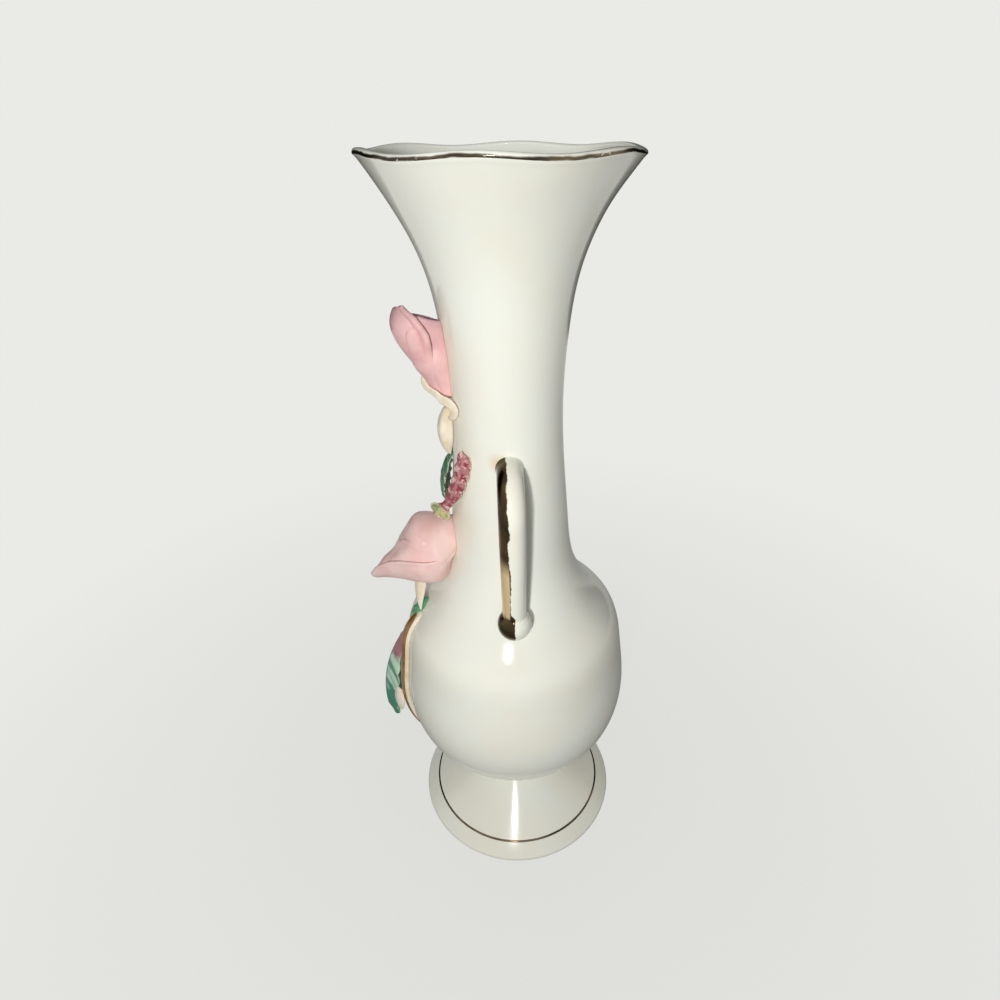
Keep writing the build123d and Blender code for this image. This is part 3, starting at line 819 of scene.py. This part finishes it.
def hood_lift(angle, level, from_edge, across, up):
    """Relief of the hood: a rolled edge with a groove beside it, and a tongue pressed on."""
    roll = 0.75 * np.exp(-((from_edge - 0.6) / 0.6) ** 2) * ramp(level, 9, 15)
    groove = -0.35 * np.exp(-((from_edge - 1.75) / 0.4) ** 2) * ramp(level, 9, 14)
    side = np.radians(angle - tongue_left(level)) * upper_girth(level)
    crown = 18.3 - 0.004 * (angle + 12) ** 2 - level
    tongue = 0.5 * ramp(np.minimum(side, crown), -0.15, 0.5) * ramp(level, 5, 9)
    return roll + groove + tongue * np.maximum(ramp(from_edge, 1.2, 2.2), ramp(level, 13, 9))


hood = petal(
    "upper_rose_hood", upper_bud, line_of((0, -200), (22, -190)), hood_right, 0.0,
    line_of((0, 15.5), (0.25, 19.5), (0.45, 21.6), (0.65, 22.3), (0.85, 22.6), (1, 22.8)), hood_lift,
    rows=120, columns=170)
place_piece(hood, "pink_glaze", "upper_rose_petal_1")


def inner_lift(angle, level, from_edge, across, up):
    """An inner petal dives under the hood's rolled edge at its top, and laps smoothly over the hood below."""
    under = -0.9 + 0.7 * ramp(angle, 0, 45) * ramp(angle, 130, 100)
    over = -0.1 + 0.75 * ramp(angle, -26, 6)
    return under + (over - under) * ramp(level, 14, 9)


inner_petal = petal(
    "upper_rose_inner_petal", upper_bud, line_of((0, -25), (22, -30)), line_of((0, 118), (22, 112)), 0.0,
    line_of((0, 20.2), (0.25, 19.9), (0.4, 18.4), (0.55, 17.2), (1, 15.2)), inner_lift)
place_piece(inner_petal, "pink_glaze", "upper_rose_petal_2")
back_petal = petal(
    "upper_rose_back_petal", upper_bud, line_of((0, 100), (22, 104)), line_of((0, 226), (22, 222)), 0.0,
    line_of((0, 15.4), (0.4, 15.8), (0.8, 18.5), (1, 19.4)), lambda angle, *rest: -0.95 + 0 * angle)
place_piece(back_petal, "pink_glaze", "upper_rose_petal_3")

# %% [markdown]
# ## The heart of a bud
#
# A strip of clay was rolled up to fill the bud before the petals went on. Its middle surface is a spiral: the angle
# runs through two turns and more while the radius shrinks to the axis.

# %% Heart of the upper rosebud
def rolled_heart(name, bud, turns, widest, base, top):
    """A strip of clay rolled up to a heart: it winds inwards round the bud's axis."""
    across, up = np.meshgrid(np.linspace(0, 1, 150), dense_ends(44))
    level = base + (top - 2.2 * across - base) * up
    radius = (0.5 + (widest - 0.5) * across) * (0.7 + 0.3 * np.sin(math.pi * (0.15 + 0.7 * up)))
    middle = on_bud(bud, 360 * turns * across, level, radius)
    outward = middle - on_bud(bud, 0 * across, level, 0 * radius)
    return clay_sheet(name, middle, 0.6, outward, bud[-1])


upper_heart = rolled_heart("upper_rose_rolled_heart", upper_bud, 2.6, 4.4, 1.0, 18.6)
place_piece(upper_heart, "pink_glaze", "upper_rose_heart")

# %% [markdown]
# ## The lower rosebud
#
# This bud hangs forward and comes to a point. Its lower petal wraps up round the tip, and its edge runs along the
# whole side. A shorter petal lies over the top near the wall, and two more fill the gaps. The top was pressed in
# above the tip, and the lower petal was tucked in near the wall, so the petals' lifts are lowered there.

# %% Lower rosebud
LOWER_LENGTH, LOWER_RADIUS, LOWER_BASE = 24.8, 9.7, -3.0
lower_girth = girth_of(
    [LOWER_LENGTH * share for share in (-0.12, 0.08, 0.28, 0.55, 0.7, 0.86, 1.0)],
    [LOWER_RADIUS * share for share in (0.4, 0.74, 1.0, 0.75, 0.48, 0.25, 0.06)])
lower_bud = bud_frame(4.0, 102.3, 0.0, -26.0, lower_girth, lower_pink)


def curled(stand, roll, level, from_edge, up):
    """How far a petal stands off its bud when it curls out along its right edge and its end."""
    edge = np.exp(-(from_edge / 0.9) ** 2) + np.exp(-((1 - up) / 0.06) ** 2)
    return stand + roll * np.minimum(edge, 1) * ramp(level, 2, 7)


def flattened(angle, level):
    """How far the top of the bud is pressed in above its tip."""
    return 1.5 * ramp(angle, 20, 70) * ramp(angle, 200, 130) * ramp(level, 5, 10) * ramp(level, 20, 14)


def under_lift(angle, level, from_edge, across, up):
    """The lower petal curls along its edge, and is tucked in underneath, near the wall."""
    return curled(0.0, 0.3, level, from_edge, up) - 2.2 * ramp(angle, -15, -50) * ramp(level, 8, 1)


def side_lift(angle, level, from_edge, across, up):
    """The petals at the side lie under the others and follow the pressed top."""
    return curled(-0.7, 0.25, level, from_edge, up) - flattened(angle, level)


def over_lift(angle, level, from_edge, across, up):
    """The upper petal sinks into the bud towards its end, and dives under the lower petal's edge."""
    edge = 0.85 * ramp(angle, 42, 14) * ramp(level, 3, 6.5) + 0.7 * ramp(angle, -4, -20)
    crease = 0.45 * np.exp(-(across / 0.07) ** 2) * ramp(level, 6.5, 8.5)
    return 0.3 - 1.1 * ramp(level, 2.5, 12.5) - edge + crease - 0.8 * flattened(angle, level)


under_petal = petal(
    "lower_rose_under_petal", lower_bud, line_of((-3, -165), (18, -150), (24, -140)),
    line_of((-3, -14), (2, -6), (5.8, 6), (8.4, 15), (12.2, 26), (15.3, 35), (19.4, 53), (22.4, 76), (24.8, 88)),
    LOWER_BASE, line_of((0, 22), (0.5, 24.6), (1, 24.7)), under_lift, rows=110, columns=130)
place_piece(under_petal, "pink_glaze", "lower_rose_petal_1")
side_petal = petal(
    "lower_rose_side_petal", lower_bud, line_of((-3, -30), (20, 15)), line_of((-3, 105), (20, 118)),
    LOWER_BASE, line_of((0, 20), (0.5, 23.4), (1, 23.6)), side_lift)
place_piece(side_petal, "pink_glaze", "lower_rose_petal_2")
over_petal = petal(
    "lower_rose_over_petal", lower_bud,
    line_of((-3, -25), (4.5, -18), (6.5, 14), (7.8, 36), (10, 58), (11.8, 69), (12.8, 84)),
    line_of((-3, 178), (6, 172), (10, 150), (12.8, 108)),
    LOWER_BASE, line_of((0, 12.2), (0.5, 12.8), (1, 12.2)), over_lift)
place_piece(over_petal, "pink_glaze", "lower_rose_petal_3")
far_petal = petal(
    "lower_rose_far_petal", lower_bud, line_of((-3, 100), (20, 110)), line_of((-3, 222), (20, 232)),
    LOWER_BASE, line_of((0, 23.6), (0.5, 23.4), (1, 21)), side_lift)
place_piece(far_petal, "pink_glaze", "lower_rose_petal_4")
lower_heart = rolled_heart("lower_rose_rolled_heart", lower_bud, 2.4, 3.6, 0.0, 17.0)
place_piece(lower_heart, "pink_glaze", "lower_rose_heart")

# %% [markdown]
# ## Cream glaze
#
# The sepals, the stem and two of the leaves are a warm cream, with clouds of tan and a touch of green that ran off
# the painted leaves. Two layers of noise on Object coordinates lay these tints over the cream.

# %% Cream glaze
CREAM, CREAM_TAN, CREAM_GREEN = paint(240, 231, 211), paint(224, 207, 176), paint(196, 200, 152)


def cream_glaze():
    """Warm cream, with clouds of tan and a touch of green."""
    material, tree, shader = new_finish("Cream glaze")
    place = object_place(tree)
    colour = blend(tree, between(tree, noise(tree, place, 190, 3), 0.4, 0.7), CREAM, CREAM_TAN)
    green = sums(tree, "MULTIPLY", between(tree, noise(tree, place, 130, 2), 0.6, 0.75), 0.4)
    feed(tree, shader["Base Color"], blend(tree, green, colour, CREAM_GREEN))
    fired_surface(tree, shader, place, 250, (0.15, 0.32), 520, 3, 0.06)
    return material


cream = cream_glaze()
print(cream.name, len(cream.node_tree.nodes), "nodes")

# %% [markdown]
# ## Sepals
#
# Under each bud a few narrow tongues of cream clay hold the petals to the wall. Two of them, under the upper bud, are
# ribbons that curl away from it, so a path of points and a few widths describe them. The other two are the same kind
# of wrapped sheet as a petal, only short, with a ragged tip that lifts off.

# %% Sepals
def ribbon(name, path, widths, facing):
    """A strip of clay along a path of points, whose flat side looks in one direction."""
    line = smooth_line(path, 60)
    ahead = np.gradient(line, axis=0)
    across = np.cross(ahead, facing)
    across /= np.linalg.norm(across, axis=1, keepdims=True)
    share = np.linspace(0, 1, len(line))
    half = np.interp(share, np.linspace(0, 1, len(widths)), widths) / 2
    step = 2 * dense_ends(24) - 1
    middle = line[:, None] + (half[:, None] * step)[..., None] * across[:, None]
    return clay_sheet(name, middle, 0.7, np.broadcast_to(facing, middle.shape), cream)


def sepal(name, bud, middle, base, tip):
    """A narrow tongue on the outside of a bud, with a ragged tip that lifts off."""
    half = line_of((base, 22.0), (base + 0.6 * (tip - base), 18.48), (tip, 5.28))
    left = lambda level: middle - half(level)
    right = lambda level: middle + half(level)
    ragged = lambda across: tip - 0.5 - 0.5 * np.cos(9 * across)
    lift = lambda angle, level, from_edge, across, up: 1.1 + 0.5 * up ** 3
    return petal(name, bud, left, right, base, ragged, lift, 0.8, 40, 36, cream)


calyx_tip = ribbon(
    "upper_rose_cream_sepal_1",
    [(0.6, -19.0, 145.4), (1.6, -18.5, 143.9), (3.0, -17.2, 143.0), (4.6, -15.7, 142.5), (5.8, -14.4, 141.7)],
    [0.8, 1.9, 1.7, 1.9, 1.4], (0.9, -0.4, -0.15))
place_piece(calyx_tip, "cream_glaze", "upper_rose_sepal_1")
calyx_fold = ribbon(
    "upper_rose_cream_sepal_2",
    [(4.2, -16.0, 142.6), (5.8, -14.5, 141.7), (7.2, -12.9, 141.3), (7.9, -11.8, 140.1), (7.3, -12.1, 138.4),
     (6.1, -13.3, 137.2)],
    [1.0, 2.0, 2.2, 1.8, 1.9, 0.9], (0.9, -0.4, 0.1))
place_piece(calyx_fold, "cream_glaze", "upper_rose_sepal_2")
upper_sepal = sepal("upper_rose_cream_sepal_3", upper_bud, 190.0, -0.4, 5.2)
place_piece(upper_sepal, "cream_glaze", "upper_rose_sepal_3")
lower_sepal = sepal("lower_rose_cream_sepal", lower_bud, 180.0, LOWER_BASE, 6.9)
place_piece(lower_sepal, "cream_glaze", "lower_rose_sepal_1")

# %% [markdown]
# ## The stem
#
# A strip of clay runs down the globe under the flowers, and its ridge was gilded. It follows the wall, so its
# section, a low round ridge, is simply carried along the wall's outline.

# %% Stem and its gilded ridge
STEM_TURN, GLOBE_RADIUS = 13.0, 32.0


def wall_strip(name, width, low, high, rise, foot, finish):
    """A rounded strip down the front that follows the wall between two heights, and tapers at both ends."""
    across, up = np.meshgrid(np.linspace(-1, 1, 31), dense_ends(120))
    height = low + (high - low) * up
    ends = np.sqrt(np.clip(1 - np.abs(2 * up - 1) ** 14, 0, 1))
    angle = STEM_TURN + np.degrees(across * (0.25 + 0.75 * ends) * width / 2 / GLOBE_RADIUS)
    clear = foot + (rise - foot) * np.sqrt(1 - np.clip(np.abs(across), 0, 1) ** 2.4) * ends
    return two_sided(name, wall_point(angle, height, clear), wall_point(angle, height, foot), finish)


stem = wall_strip("stem_strip", 4.6, 33.0, 80.2, 1.6, WALL_GAP, cream)
place_piece(stem, "cream_glaze", "stem")
stem_gilt = gilded("Stem gilding", STEM_GOLD, whole_brush, 0.15, shine=0.35)
ridge = wall_strip("stem_gilt_ridge", 3.4, 33.4, 79.8, 1.95, 1.2, stem_gilt)
place_piece(ridge, "gilding", "stem_gilding")

# %% [markdown]
# ## Leaves
#
# Each leaf was cut from a thin sheet, notched along its edge, folded a little along its midrib and bent into a
# bow before it was pressed on. The helper takes the two ends of a leaf on the wall and its widths along the way, and
# gives the bow, the fold, the notches and a relief of veins between them. A leaf may also be twisted about its
# midrib, swing to one side, and have its tip cut into lobes.

# %% Leaf helper
LEAF_THICKNESS = 0.9
LANCE = (
    (0, 0.45), (0.04, 0.52), (0.15, 0.75), (0.35, 0.98), (0.5, 1), (0.7, 0.83), (0.85, 0.53), (0.95, 0.25), (1, 0.1))


def leaf(name, finish, datum, root, tip, width, arch, fold, teeth=0, veins=0.0, twist=0.0, widths=LANCE, sway=0.0,
         lobes=0.0):
    """A leaf between two places, each given as a turn, a height from the datum and a distance off the wall.

    The twist turns it about its midrib towards the right. The widths are shares of the full width along the leaf,
    the sway is how far its middle swings to the right, and the lobes are how far its tip is cut in.
    """
    start = wall_point(root[0], datum + root[1], root[2])
    end = wall_point(tip[0], datum + tip[1], tip[2])
    along = end - start
    length = np.linalg.norm(along)
    along = along / length
    across = np.cross(along, around((root[0] + tip[0]) / 2))
    across /= np.linalg.norm(across)
    rise = np.cross(across, along)
    turn = math.radians(twist)
    across, rise = (
        across * math.cos(turn) + rise * math.sin(turn), rise * math.cos(turn) - across * math.sin(turn))
    side, far = np.meshgrid(2 * dense_ends(64) - 1, dense_ends(110))
    outline = smooth_line([(10 * share, part) for share, part in widths], 200)
    reach = width / 2 * np.interp(10 * far, outline[:, 0], outline[:, 1])
    if teeth:
        reach = reach * (1 - 0.18 * (1 - np.abs(np.sin(math.pi * teeth * far))) ** 1.5)
    x = side * np.maximum(reach, 0.25)
    bow = (length ** 2 / 4 + arch ** 2) / (2 * arch)
    z = np.sqrt(bow ** 2 - (far - 0.5) ** 2 * length ** 2) - (bow - arch)
    z = z - (np.sqrt(x ** 2 + 0.16) - 0.4) * math.tan(math.radians(fold))
    if veins:
        slant = far * length - 0.7 * np.abs(x)
        z = z + veins * np.cos(2 * math.pi * slant * max(teeth, 4) / length) * ramp(np.abs(side), 0.05, 0.3)
    cut = lobes * ramp(far, 0.8, 1) * (1 - np.abs(np.cos(2.5 * math.pi * side)) ** 0.6)
    forward = far * length - cut
    x = x - sway * np.sin(math.pi * far)
    lifted = (z - LEAF_THICKNESS / 2)[..., None] * rise
    middle = start + x[..., None] * across + forward[..., None] * along + lifted
    return clay_sheet(name, middle, LEAF_THICKNESS, np.broadcast_to(rise, middle.shape), finish)


print("leaf helper ready")

# %% [markdown]
# ## Painted leaves
#
# The leaves were painted by hand under the glaze, in bands from root to tip, with slanting veins and a cream margin.
# Each finish is a colour ramp along the leaf's own UV map, roughened with noise, and the veins come from the same
# map. The crimson leaf is patchy, so finer noise breaks up its paint, with green patches on its tip.

# %% Leaf glazes
CRIMSON, CRIMSON_PALE, CRIMSON_VEIN = paint(148, 58, 72), paint(214, 156, 158), paint(230, 198, 190)
LEAF_GREEN, LEAF_YELLOW, GREEN_VEIN = paint(78, 124, 92), paint(196, 196, 128), paint(48, 92, 66)
ROSE, PLUM = paint(232, 196, 188), paint(158, 104, 112)
MINT, TEAL, TEAL_VEIN = paint(186, 218, 194), paint(52, 140, 108), paint(36, 128, 100)
SMALL_GREEN, SMALL_VEIN = paint(92, 150, 108), paint(60, 120, 88)


def painted_leaf(name, bands, vein, vein_share, veins, margin=0.9, slope=0.13, stray=0.15, veins_from=0.0,
                 mottle=0.0):
    """Bands of colour along a leaf, with slanting veins and a cream margin.

    The margin starts at a share of the way to the edge, the veins at a share of the way to the tip, stray is how
    unsteady the brush was, and mottle how patchy the paint is.
    """
    material, tree, shader = new_finish(name)
    place = object_place(tree)
    shares = uv_shares(tree)
    wobble = waver(tree, place, 280, 3, 0.22)
    ramp_node = tree.nodes.new("ShaderNodeValToRGB")
    stops = ramp_node.color_ramp.elements
    while len(stops) < len(bands):
        stops.new(0.5)
    for stop, (share, colour) in zip(stops, bands):
        stop.position, stop.color = share, colour
    feed(tree, ramp_node.inputs[0], sums(tree, "ADD", shares["Y"], wobble))
    colour = ramp_node.outputs[0]
    off_rib = edge_share(tree, shares["X"])
    slant = sums(tree, "SUBTRACT", shares["Y"], sums(tree, "MULTIPLY", off_rib, slope))
    slant = sums(tree, "ADD", slant, sums(tree, "MULTIPLY", wobble, stray))
    lines = sums(tree, "SINE", sums(tree, "MULTIPLY", slant, 2 * math.pi * veins))
    lines = sums(tree, "MULTIPLY", between(tree, lines, 0.0, 0.9), vein_share)
    lines = sums(tree, "MULTIPLY", lines, between(tree, shares["Y"], veins_from, veins_from + 0.1))
    if mottle:
        patches = sums(tree, "MULTIPLY", between(tree, noise(tree, place, 620, 3, 0.6), 0.48, 0.62), mottle)
        fan = between(tree, shares["Y"], 0.68, 0.72)
        colour = blend(tree, sums(tree, "MULTIPLY", patches, fan), colour, LEAF_GREEN)
        lines = sums(tree, "MAXIMUM", lines, sums(tree, "MULTIPLY", patches, sums(tree, "SUBTRACT", 1.0, fan)))
    rib = between(tree, off_rib, 0.1, 0.03)
    lines = sums(tree, "MAXIMUM", lines, sums(tree, "MULTIPLY", rib, vein_share))
    colour = blend(tree, lines, colour, vein)
    edge = between(tree, sums(tree, "ADD", off_rib, sums(tree, "MULTIPLY", wobble, 0.8)), margin, margin + 0.1)
    colour = blend(tree, sums(tree, "MULTIPLY", edge, 0.75), colour, CREAM)
    feed(tree, shader["Base Color"], colour)
    fired_surface(tree, shader, place, 250, (0.14, 0.3), 500, 3, 0.06)
    return material


crimson_glaze = painted_leaf(
    "Crimson leaf glaze",
    [(0.0, CRIMSON_PALE), (0.1, CRIMSON), (0.66, CRIMSON), (0.71, LEAF_YELLOW), (0.9, LEAF_YELLOW), (1.0, CREAM)],
    CRIMSON_VEIN, 0.25, 9, margin=0.7, slope=0.02, stray=0.8, mottle=0.8)
green_glaze = painted_leaf(
    "Green leaf glaze", [(0.0, LEAF_GREEN), (0.6, LEAF_GREEN), (0.85, LEAF_YELLOW), (1.0, CREAM)],
    GREEN_VEIN, 0.6, 6)
teal_glaze = painted_leaf(
    "Teal leaf glaze", [(0.0, ROSE), (0.12, PLUM), (0.36, PLUM), (0.43, MINT), (0.6, MINT), (0.68, TEAL)],
    TEAL_VEIN, 0.85, 7, slope=0.06, veins_from=0.38)
small_glaze = painted_leaf(
    "Small leaf glaze", [(0.0, TEAL), (0.6, SMALL_GREEN), (1.0, LEAF_YELLOW)], SMALL_VEIN, 0.5, 4)
print("leaf glazes ready")

# %% [markdown]
# ## The leaves on the neck and the globe
#
# Three leaves lie round the buds on the neck, and four on the globe. The largest, the teal one, stands away from
# the globe with its curled tip forward, and is the outermost point of the whole vase.

# %% Leaves in their places
NECK, GLOBE = 137.0, 53.0
STRIP = (
    (0, 0.7), (0.06, 0.95), (0.25, 1), (0.5, 0.85), (0.66, 0.6), (0.76, 0.7), (0.87, 1.15), (0.95, 1.2), (1, 0.9))
TONGUE = (0, 0.7), (0.15, 1), (0.4, 0.9), (0.7, 0.55), (0.9, 0.25), (1, 0.1)
PADDLE = (0, 0.12), (0.1, 0.25), (0.3, 0.55), (0.55, 0.88), (0.75, 1), (0.88, 0.95), (0.96, 0.85), (1, 0.65)
DROP = (0, 0.3), (0.2, 0.75), (0.5, 1), (0.8, 0.75), (1, 0.3)
for name, slot, finish, ends, bends, extras in (
    ("crimson_leaf", "crimson_glaze", crimson_glaze, (NECK, (45, -7.3, 1.2), (12, -26.9, 4.7)), (4.4, 1.2, 20),
     dict(teeth=7, veins=0.2, twist=24, widths=STRIP, sway=2.1, lobes=1.1)),
    ("green_leaf", "green_glaze", green_glaze, (NECK, (-2, -11, 0.6), (-26, -29.5, 3.4)), (8.0, 2.2, 20),
     dict(teeth=6, veins=0.2)),
    ("cream_leaf", "cream_glaze", cream, (NECK, (12, 1.6, 1.3), (15, -9.8, 1.1)), (4.8, 2.2, 30), dict(twist=35)),
    ("hanging_sepal", "cream_glaze", cream, (GLOBE, (8, 37.4, 7.0), (12, 27.6, 0.8)), (3.6, 0.6, 20),
     dict(twist=45, widths=TONGUE)),
    ("small_leaf", "teal_glaze", small_glaze, (GLOBE, (9, 30.6, 1.4), (9, 23.8, 0.9)), (3.2, 0.6, 15),
     dict(veins=0.1, twist=30, widths=DROP)),
    ("teal_leaf", "teal_glaze", teal_glaze, (GLOBE, (-1, 17, 0.3), (-3, -16.2, 12.7)), (12.0, 3.0, 40),
     dict(teeth=8, veins=0.2, widths=PADDLE)),
    ("stem_leaf", "cream_glaze", cream, (GLOBE, (13, 0, 3.0), (13, -8.8, 4.4)), (4.4, 0.8, 15), dict(twist=30)),
):
    place_piece(leaf(f"{name}_painted", finish, *ends, *bends, **extras), slot, name)

# %% [markdown]
# ## Camera
#
# The photograph was taken from close by, from the right-hand side of the vase and from above, with a wide lens and
# held a little askew. A matrix built from the direction of view, turned by the roll, puts the camera there.

# %% Camera
PITCH, ROLL = math.radians(31.172), math.radians(-2.107)
CAMERA_PLACE = Matrix.Translation((0.13657, -0.00243, 0.19421))
forward = Vector((-math.cos(PITCH), 0, -math.sin(PITCH)))
upright = Vector((-math.sin(PITCH), 0, math.cos(PITCH)))
right = Vector((0, 1, 0)) * math.cos(ROLL) + upright * math.sin(ROLL)
up = upright * math.cos(ROLL) - Vector((0, 1, 0)) * math.sin(ROLL)
camera = new_object("camera", bpy.data.cameras.new("camera"))
camera.data.lens, camera.data.sensor_width = 22.5, 36.0
camera.data.clip_start, camera.data.clip_end = 0.01, 20
camera.matrix_world = CAMERA_PLACE @ Matrix((right, up, -forward)).transposed().to_4x4()
bpy.context.scene.camera = camera
print("camera at", [round(1000 * s) for s in camera.location], "mm")

# %% [markdown]
# ## Floor and backdrop
#
# A plain pale floor carries the vase and keeps its shadow. Away from the vase it fades into the backdrop's own
# colour, so that no horizon shows. Light Path tells what is looked at, directly or in a mirror, from light that
# falls on things, so this glow lights nothing. Close to the vase a mirror sees only the dim floor, as the glaze of
# the real one does. The world is the backdrop where it is looked at, and otherwise a weak even light.

# %% Floor and backdrop
BACKDROP = paint(234, 234, 231)
FLOOR_PAINT = paint(168, 168, 166), paint(162, 162, 160)
FLOOR_RADIUS, FLOOR_DROP = 5.0, 0.05 * MM
BY_VASE, LOOKED_AWAY, MIRRORED_AWAY = 0.04, 0.25, 0.4
GLOW_BY_VASE, FILL_LIGHT = 0.83, 0.18


def looks(tree):
    """1 for what the camera looks at, and 1 for what is seen in a mirror or through glass."""
    ray = tree.nodes.new("ShaderNodeLightPath").outputs
    return ray["Is Camera Ray"], sums(tree, "MAXIMUM", ray["Is Glossy Ray"], ray["Is Transmission Ray"])


def floor_finish():
    """Matt pale floor that fades into the backdrop's colour away from the vase."""
    material, tree, shader = new_finish("Pale floor", 0.8)
    place = object_place(tree)
    feed(tree, shader["Base Color"], blend(tree, noise(tree, place, 8, 2), *FLOOR_PAINT))
    gap = add_node(tree, "ShaderNodeVectorMath", {0: place}, operation="LENGTH").outputs["Value"]
    direct, mirrored = looks(tree)
    direct = sums(tree, "MULTIPLY", scaled(tree, gap, BY_VASE, LOOKED_AWAY, GLOW_BY_VASE, 1.0), direct)
    mirrored = sums(tree, "MULTIPLY", scaled(tree, gap, BY_VASE, MIRRORED_AWAY, 0.0, 1.0), mirrored)
    glow = add_node(tree, "ShaderNodeEmission", {"Color": BACKDROP})
    mix = add_node(tree, "ShaderNodeMixShader", {
        0: sums(tree, "MAXIMUM", mirrored, direct), 1: tree.nodes["Principled BSDF"].outputs[0],
        2: glow.outputs[0]})
    tree.links.new(mix.outputs[0], tree.nodes["Material Output"].inputs["Surface"])
    return material


bpy.ops.mesh.primitive_circle_add(
    vertices=64, radius=FLOOR_RADIUS, fill_type="NGON", location=(0, 0, -FLOOR_DROP))
floor = bpy.context.object
floor.name = "floor"
floor.data.materials.append(floor_finish())

world = bpy.data.worlds.new("studio")
bpy.context.scene.world = world
world.use_nodes = True
sky = world.node_tree
fill = sky.nodes["Background"]
fill.inputs["Color"].default_value = (1, 1, 1, 1)
fill.inputs["Strength"].default_value = FILL_LIGHT
pale = add_node(sky, "ShaderNodeBackground", {"Color": BACKDROP, "Strength": 1.0})
mixed = add_node(sky, "ShaderNodeMixShader", {
    0: sums(sky, "MAXIMUM", *looks(sky)), 1: fill.outputs[0], 2: pale.outputs[0]})
sky.links.new(mixed.outputs[0], sky.nodes["World Output"].inputs["Surface"])
print("floor radius in m:", FLOOR_RADIUS, "fill light:", FILL_LIGHT)

# %% [markdown]
# ## Lamps
#
# The photograph was lit from near the camera, a little to the left. The key lamp stands there and gives the shading.
# It is left out of reflections, because its image would be too large on the glaze, and a smaller lamp by the camera
# gives the small highlights instead. A broad weak lamp behind keeps the far side readable from other angles.

# %% Lamps
VASE_MIDDLE = Vector((0, 0, 0.1))


def lamp(name, place, size, power, in_glaze):
    """A square lamp that looks at the middle of the vase. In the glaze says whether it shows as a highlight."""
    made = new_object(name, bpy.data.lights.new(name, "AREA"))
    made.data.size, made.data.energy = size, power
    made.visible_camera = False
    made.visible_glossy = in_glaze
    made.location = place
    made.rotation_euler = (VASE_MIDDLE - Vector(place)).to_track_quat("-Z", "Y").to_euler()
    return made


key = lamp("key lamp", (0.25, -0.05, 0.206), 0.016, 0.49, False)
flash = lamp("small lamp by the camera", (0.158, -0.02, 0.207), 0.009, 0.045, True)
back = lamp("broad lamp behind", (-0.5, 0.0, 0.25), 0.3, 0.8, False)
bpy.context.scene.view_settings.view_transform = "Standard"
print("lamp power in W:", [round(each.data.energy, 3) for each in (key, flash, back)])

# %% [markdown]
# ## Dark cards
#
# A white glaze before a white backdrop loses its outline, so a photographer stands dark cards just outside the
# picture: the glaze mirrors them along its edge. Two cards stand behind the vase here, and only reflections see
# them. They fade out towards their border, so that no hard edge shows in the glaze from other sides.

# %% Dark cards
CARD_SIZE, CARD_AWAY, CARD_HEIGHT, CARD_TURN = 1.0, 0.45, 0.25, 42
CARD_CLOTH = paint(30, 30, 28), paint(46, 45, 42)


def card_finish():
    """Black cloth that turns clear towards the border of its card."""
    material, tree, shader = new_finish("Black cloth", 0.9)
    place = object_place(tree)
    feed(tree, shader["Base Color"], blend(tree, noise(tree, place, 40), *CARD_CLOTH))
    gap = add_node(tree, "ShaderNodeVectorMath", {0: place}, operation="LENGTH").outputs["Value"]
    soft = add_node(tree, "ShaderNodeMixShader", {
        0: between(tree, gap, 0.2 * CARD_SIZE, 0.5 * CARD_SIZE), 1: tree.nodes["Principled BSDF"].outputs[0],
        2: tree.nodes.new("ShaderNodeBsdfTransparent").outputs[0]})
    tree.links.new(soft.outputs[0], tree.nodes["Material Output"].inputs["Surface"])
    return material


cloth = card_finish()
for label, turn in (("left", math.radians(-CARD_TURN)), ("right", math.radians(CARD_TURN))):
    spot = (-math.cos(turn) * CARD_AWAY, math.sin(turn) * CARD_AWAY, CARD_HEIGHT)
    bpy.ops.mesh.primitive_plane_add(size=CARD_SIZE, location=spot)
    card = bpy.context.object
    card.name = f"black flag {label}"
    card.rotation_euler = (math.radians(90), 0, math.radians(90) - turn)
    card.data.materials.append(cloth)
    card.visible_camera = card.visible_diffuse = card.visible_shadow = card.visible_transmission = False
print("dark cards at", CARD_TURN, "degrees either side, size in m:", CARD_SIZE)
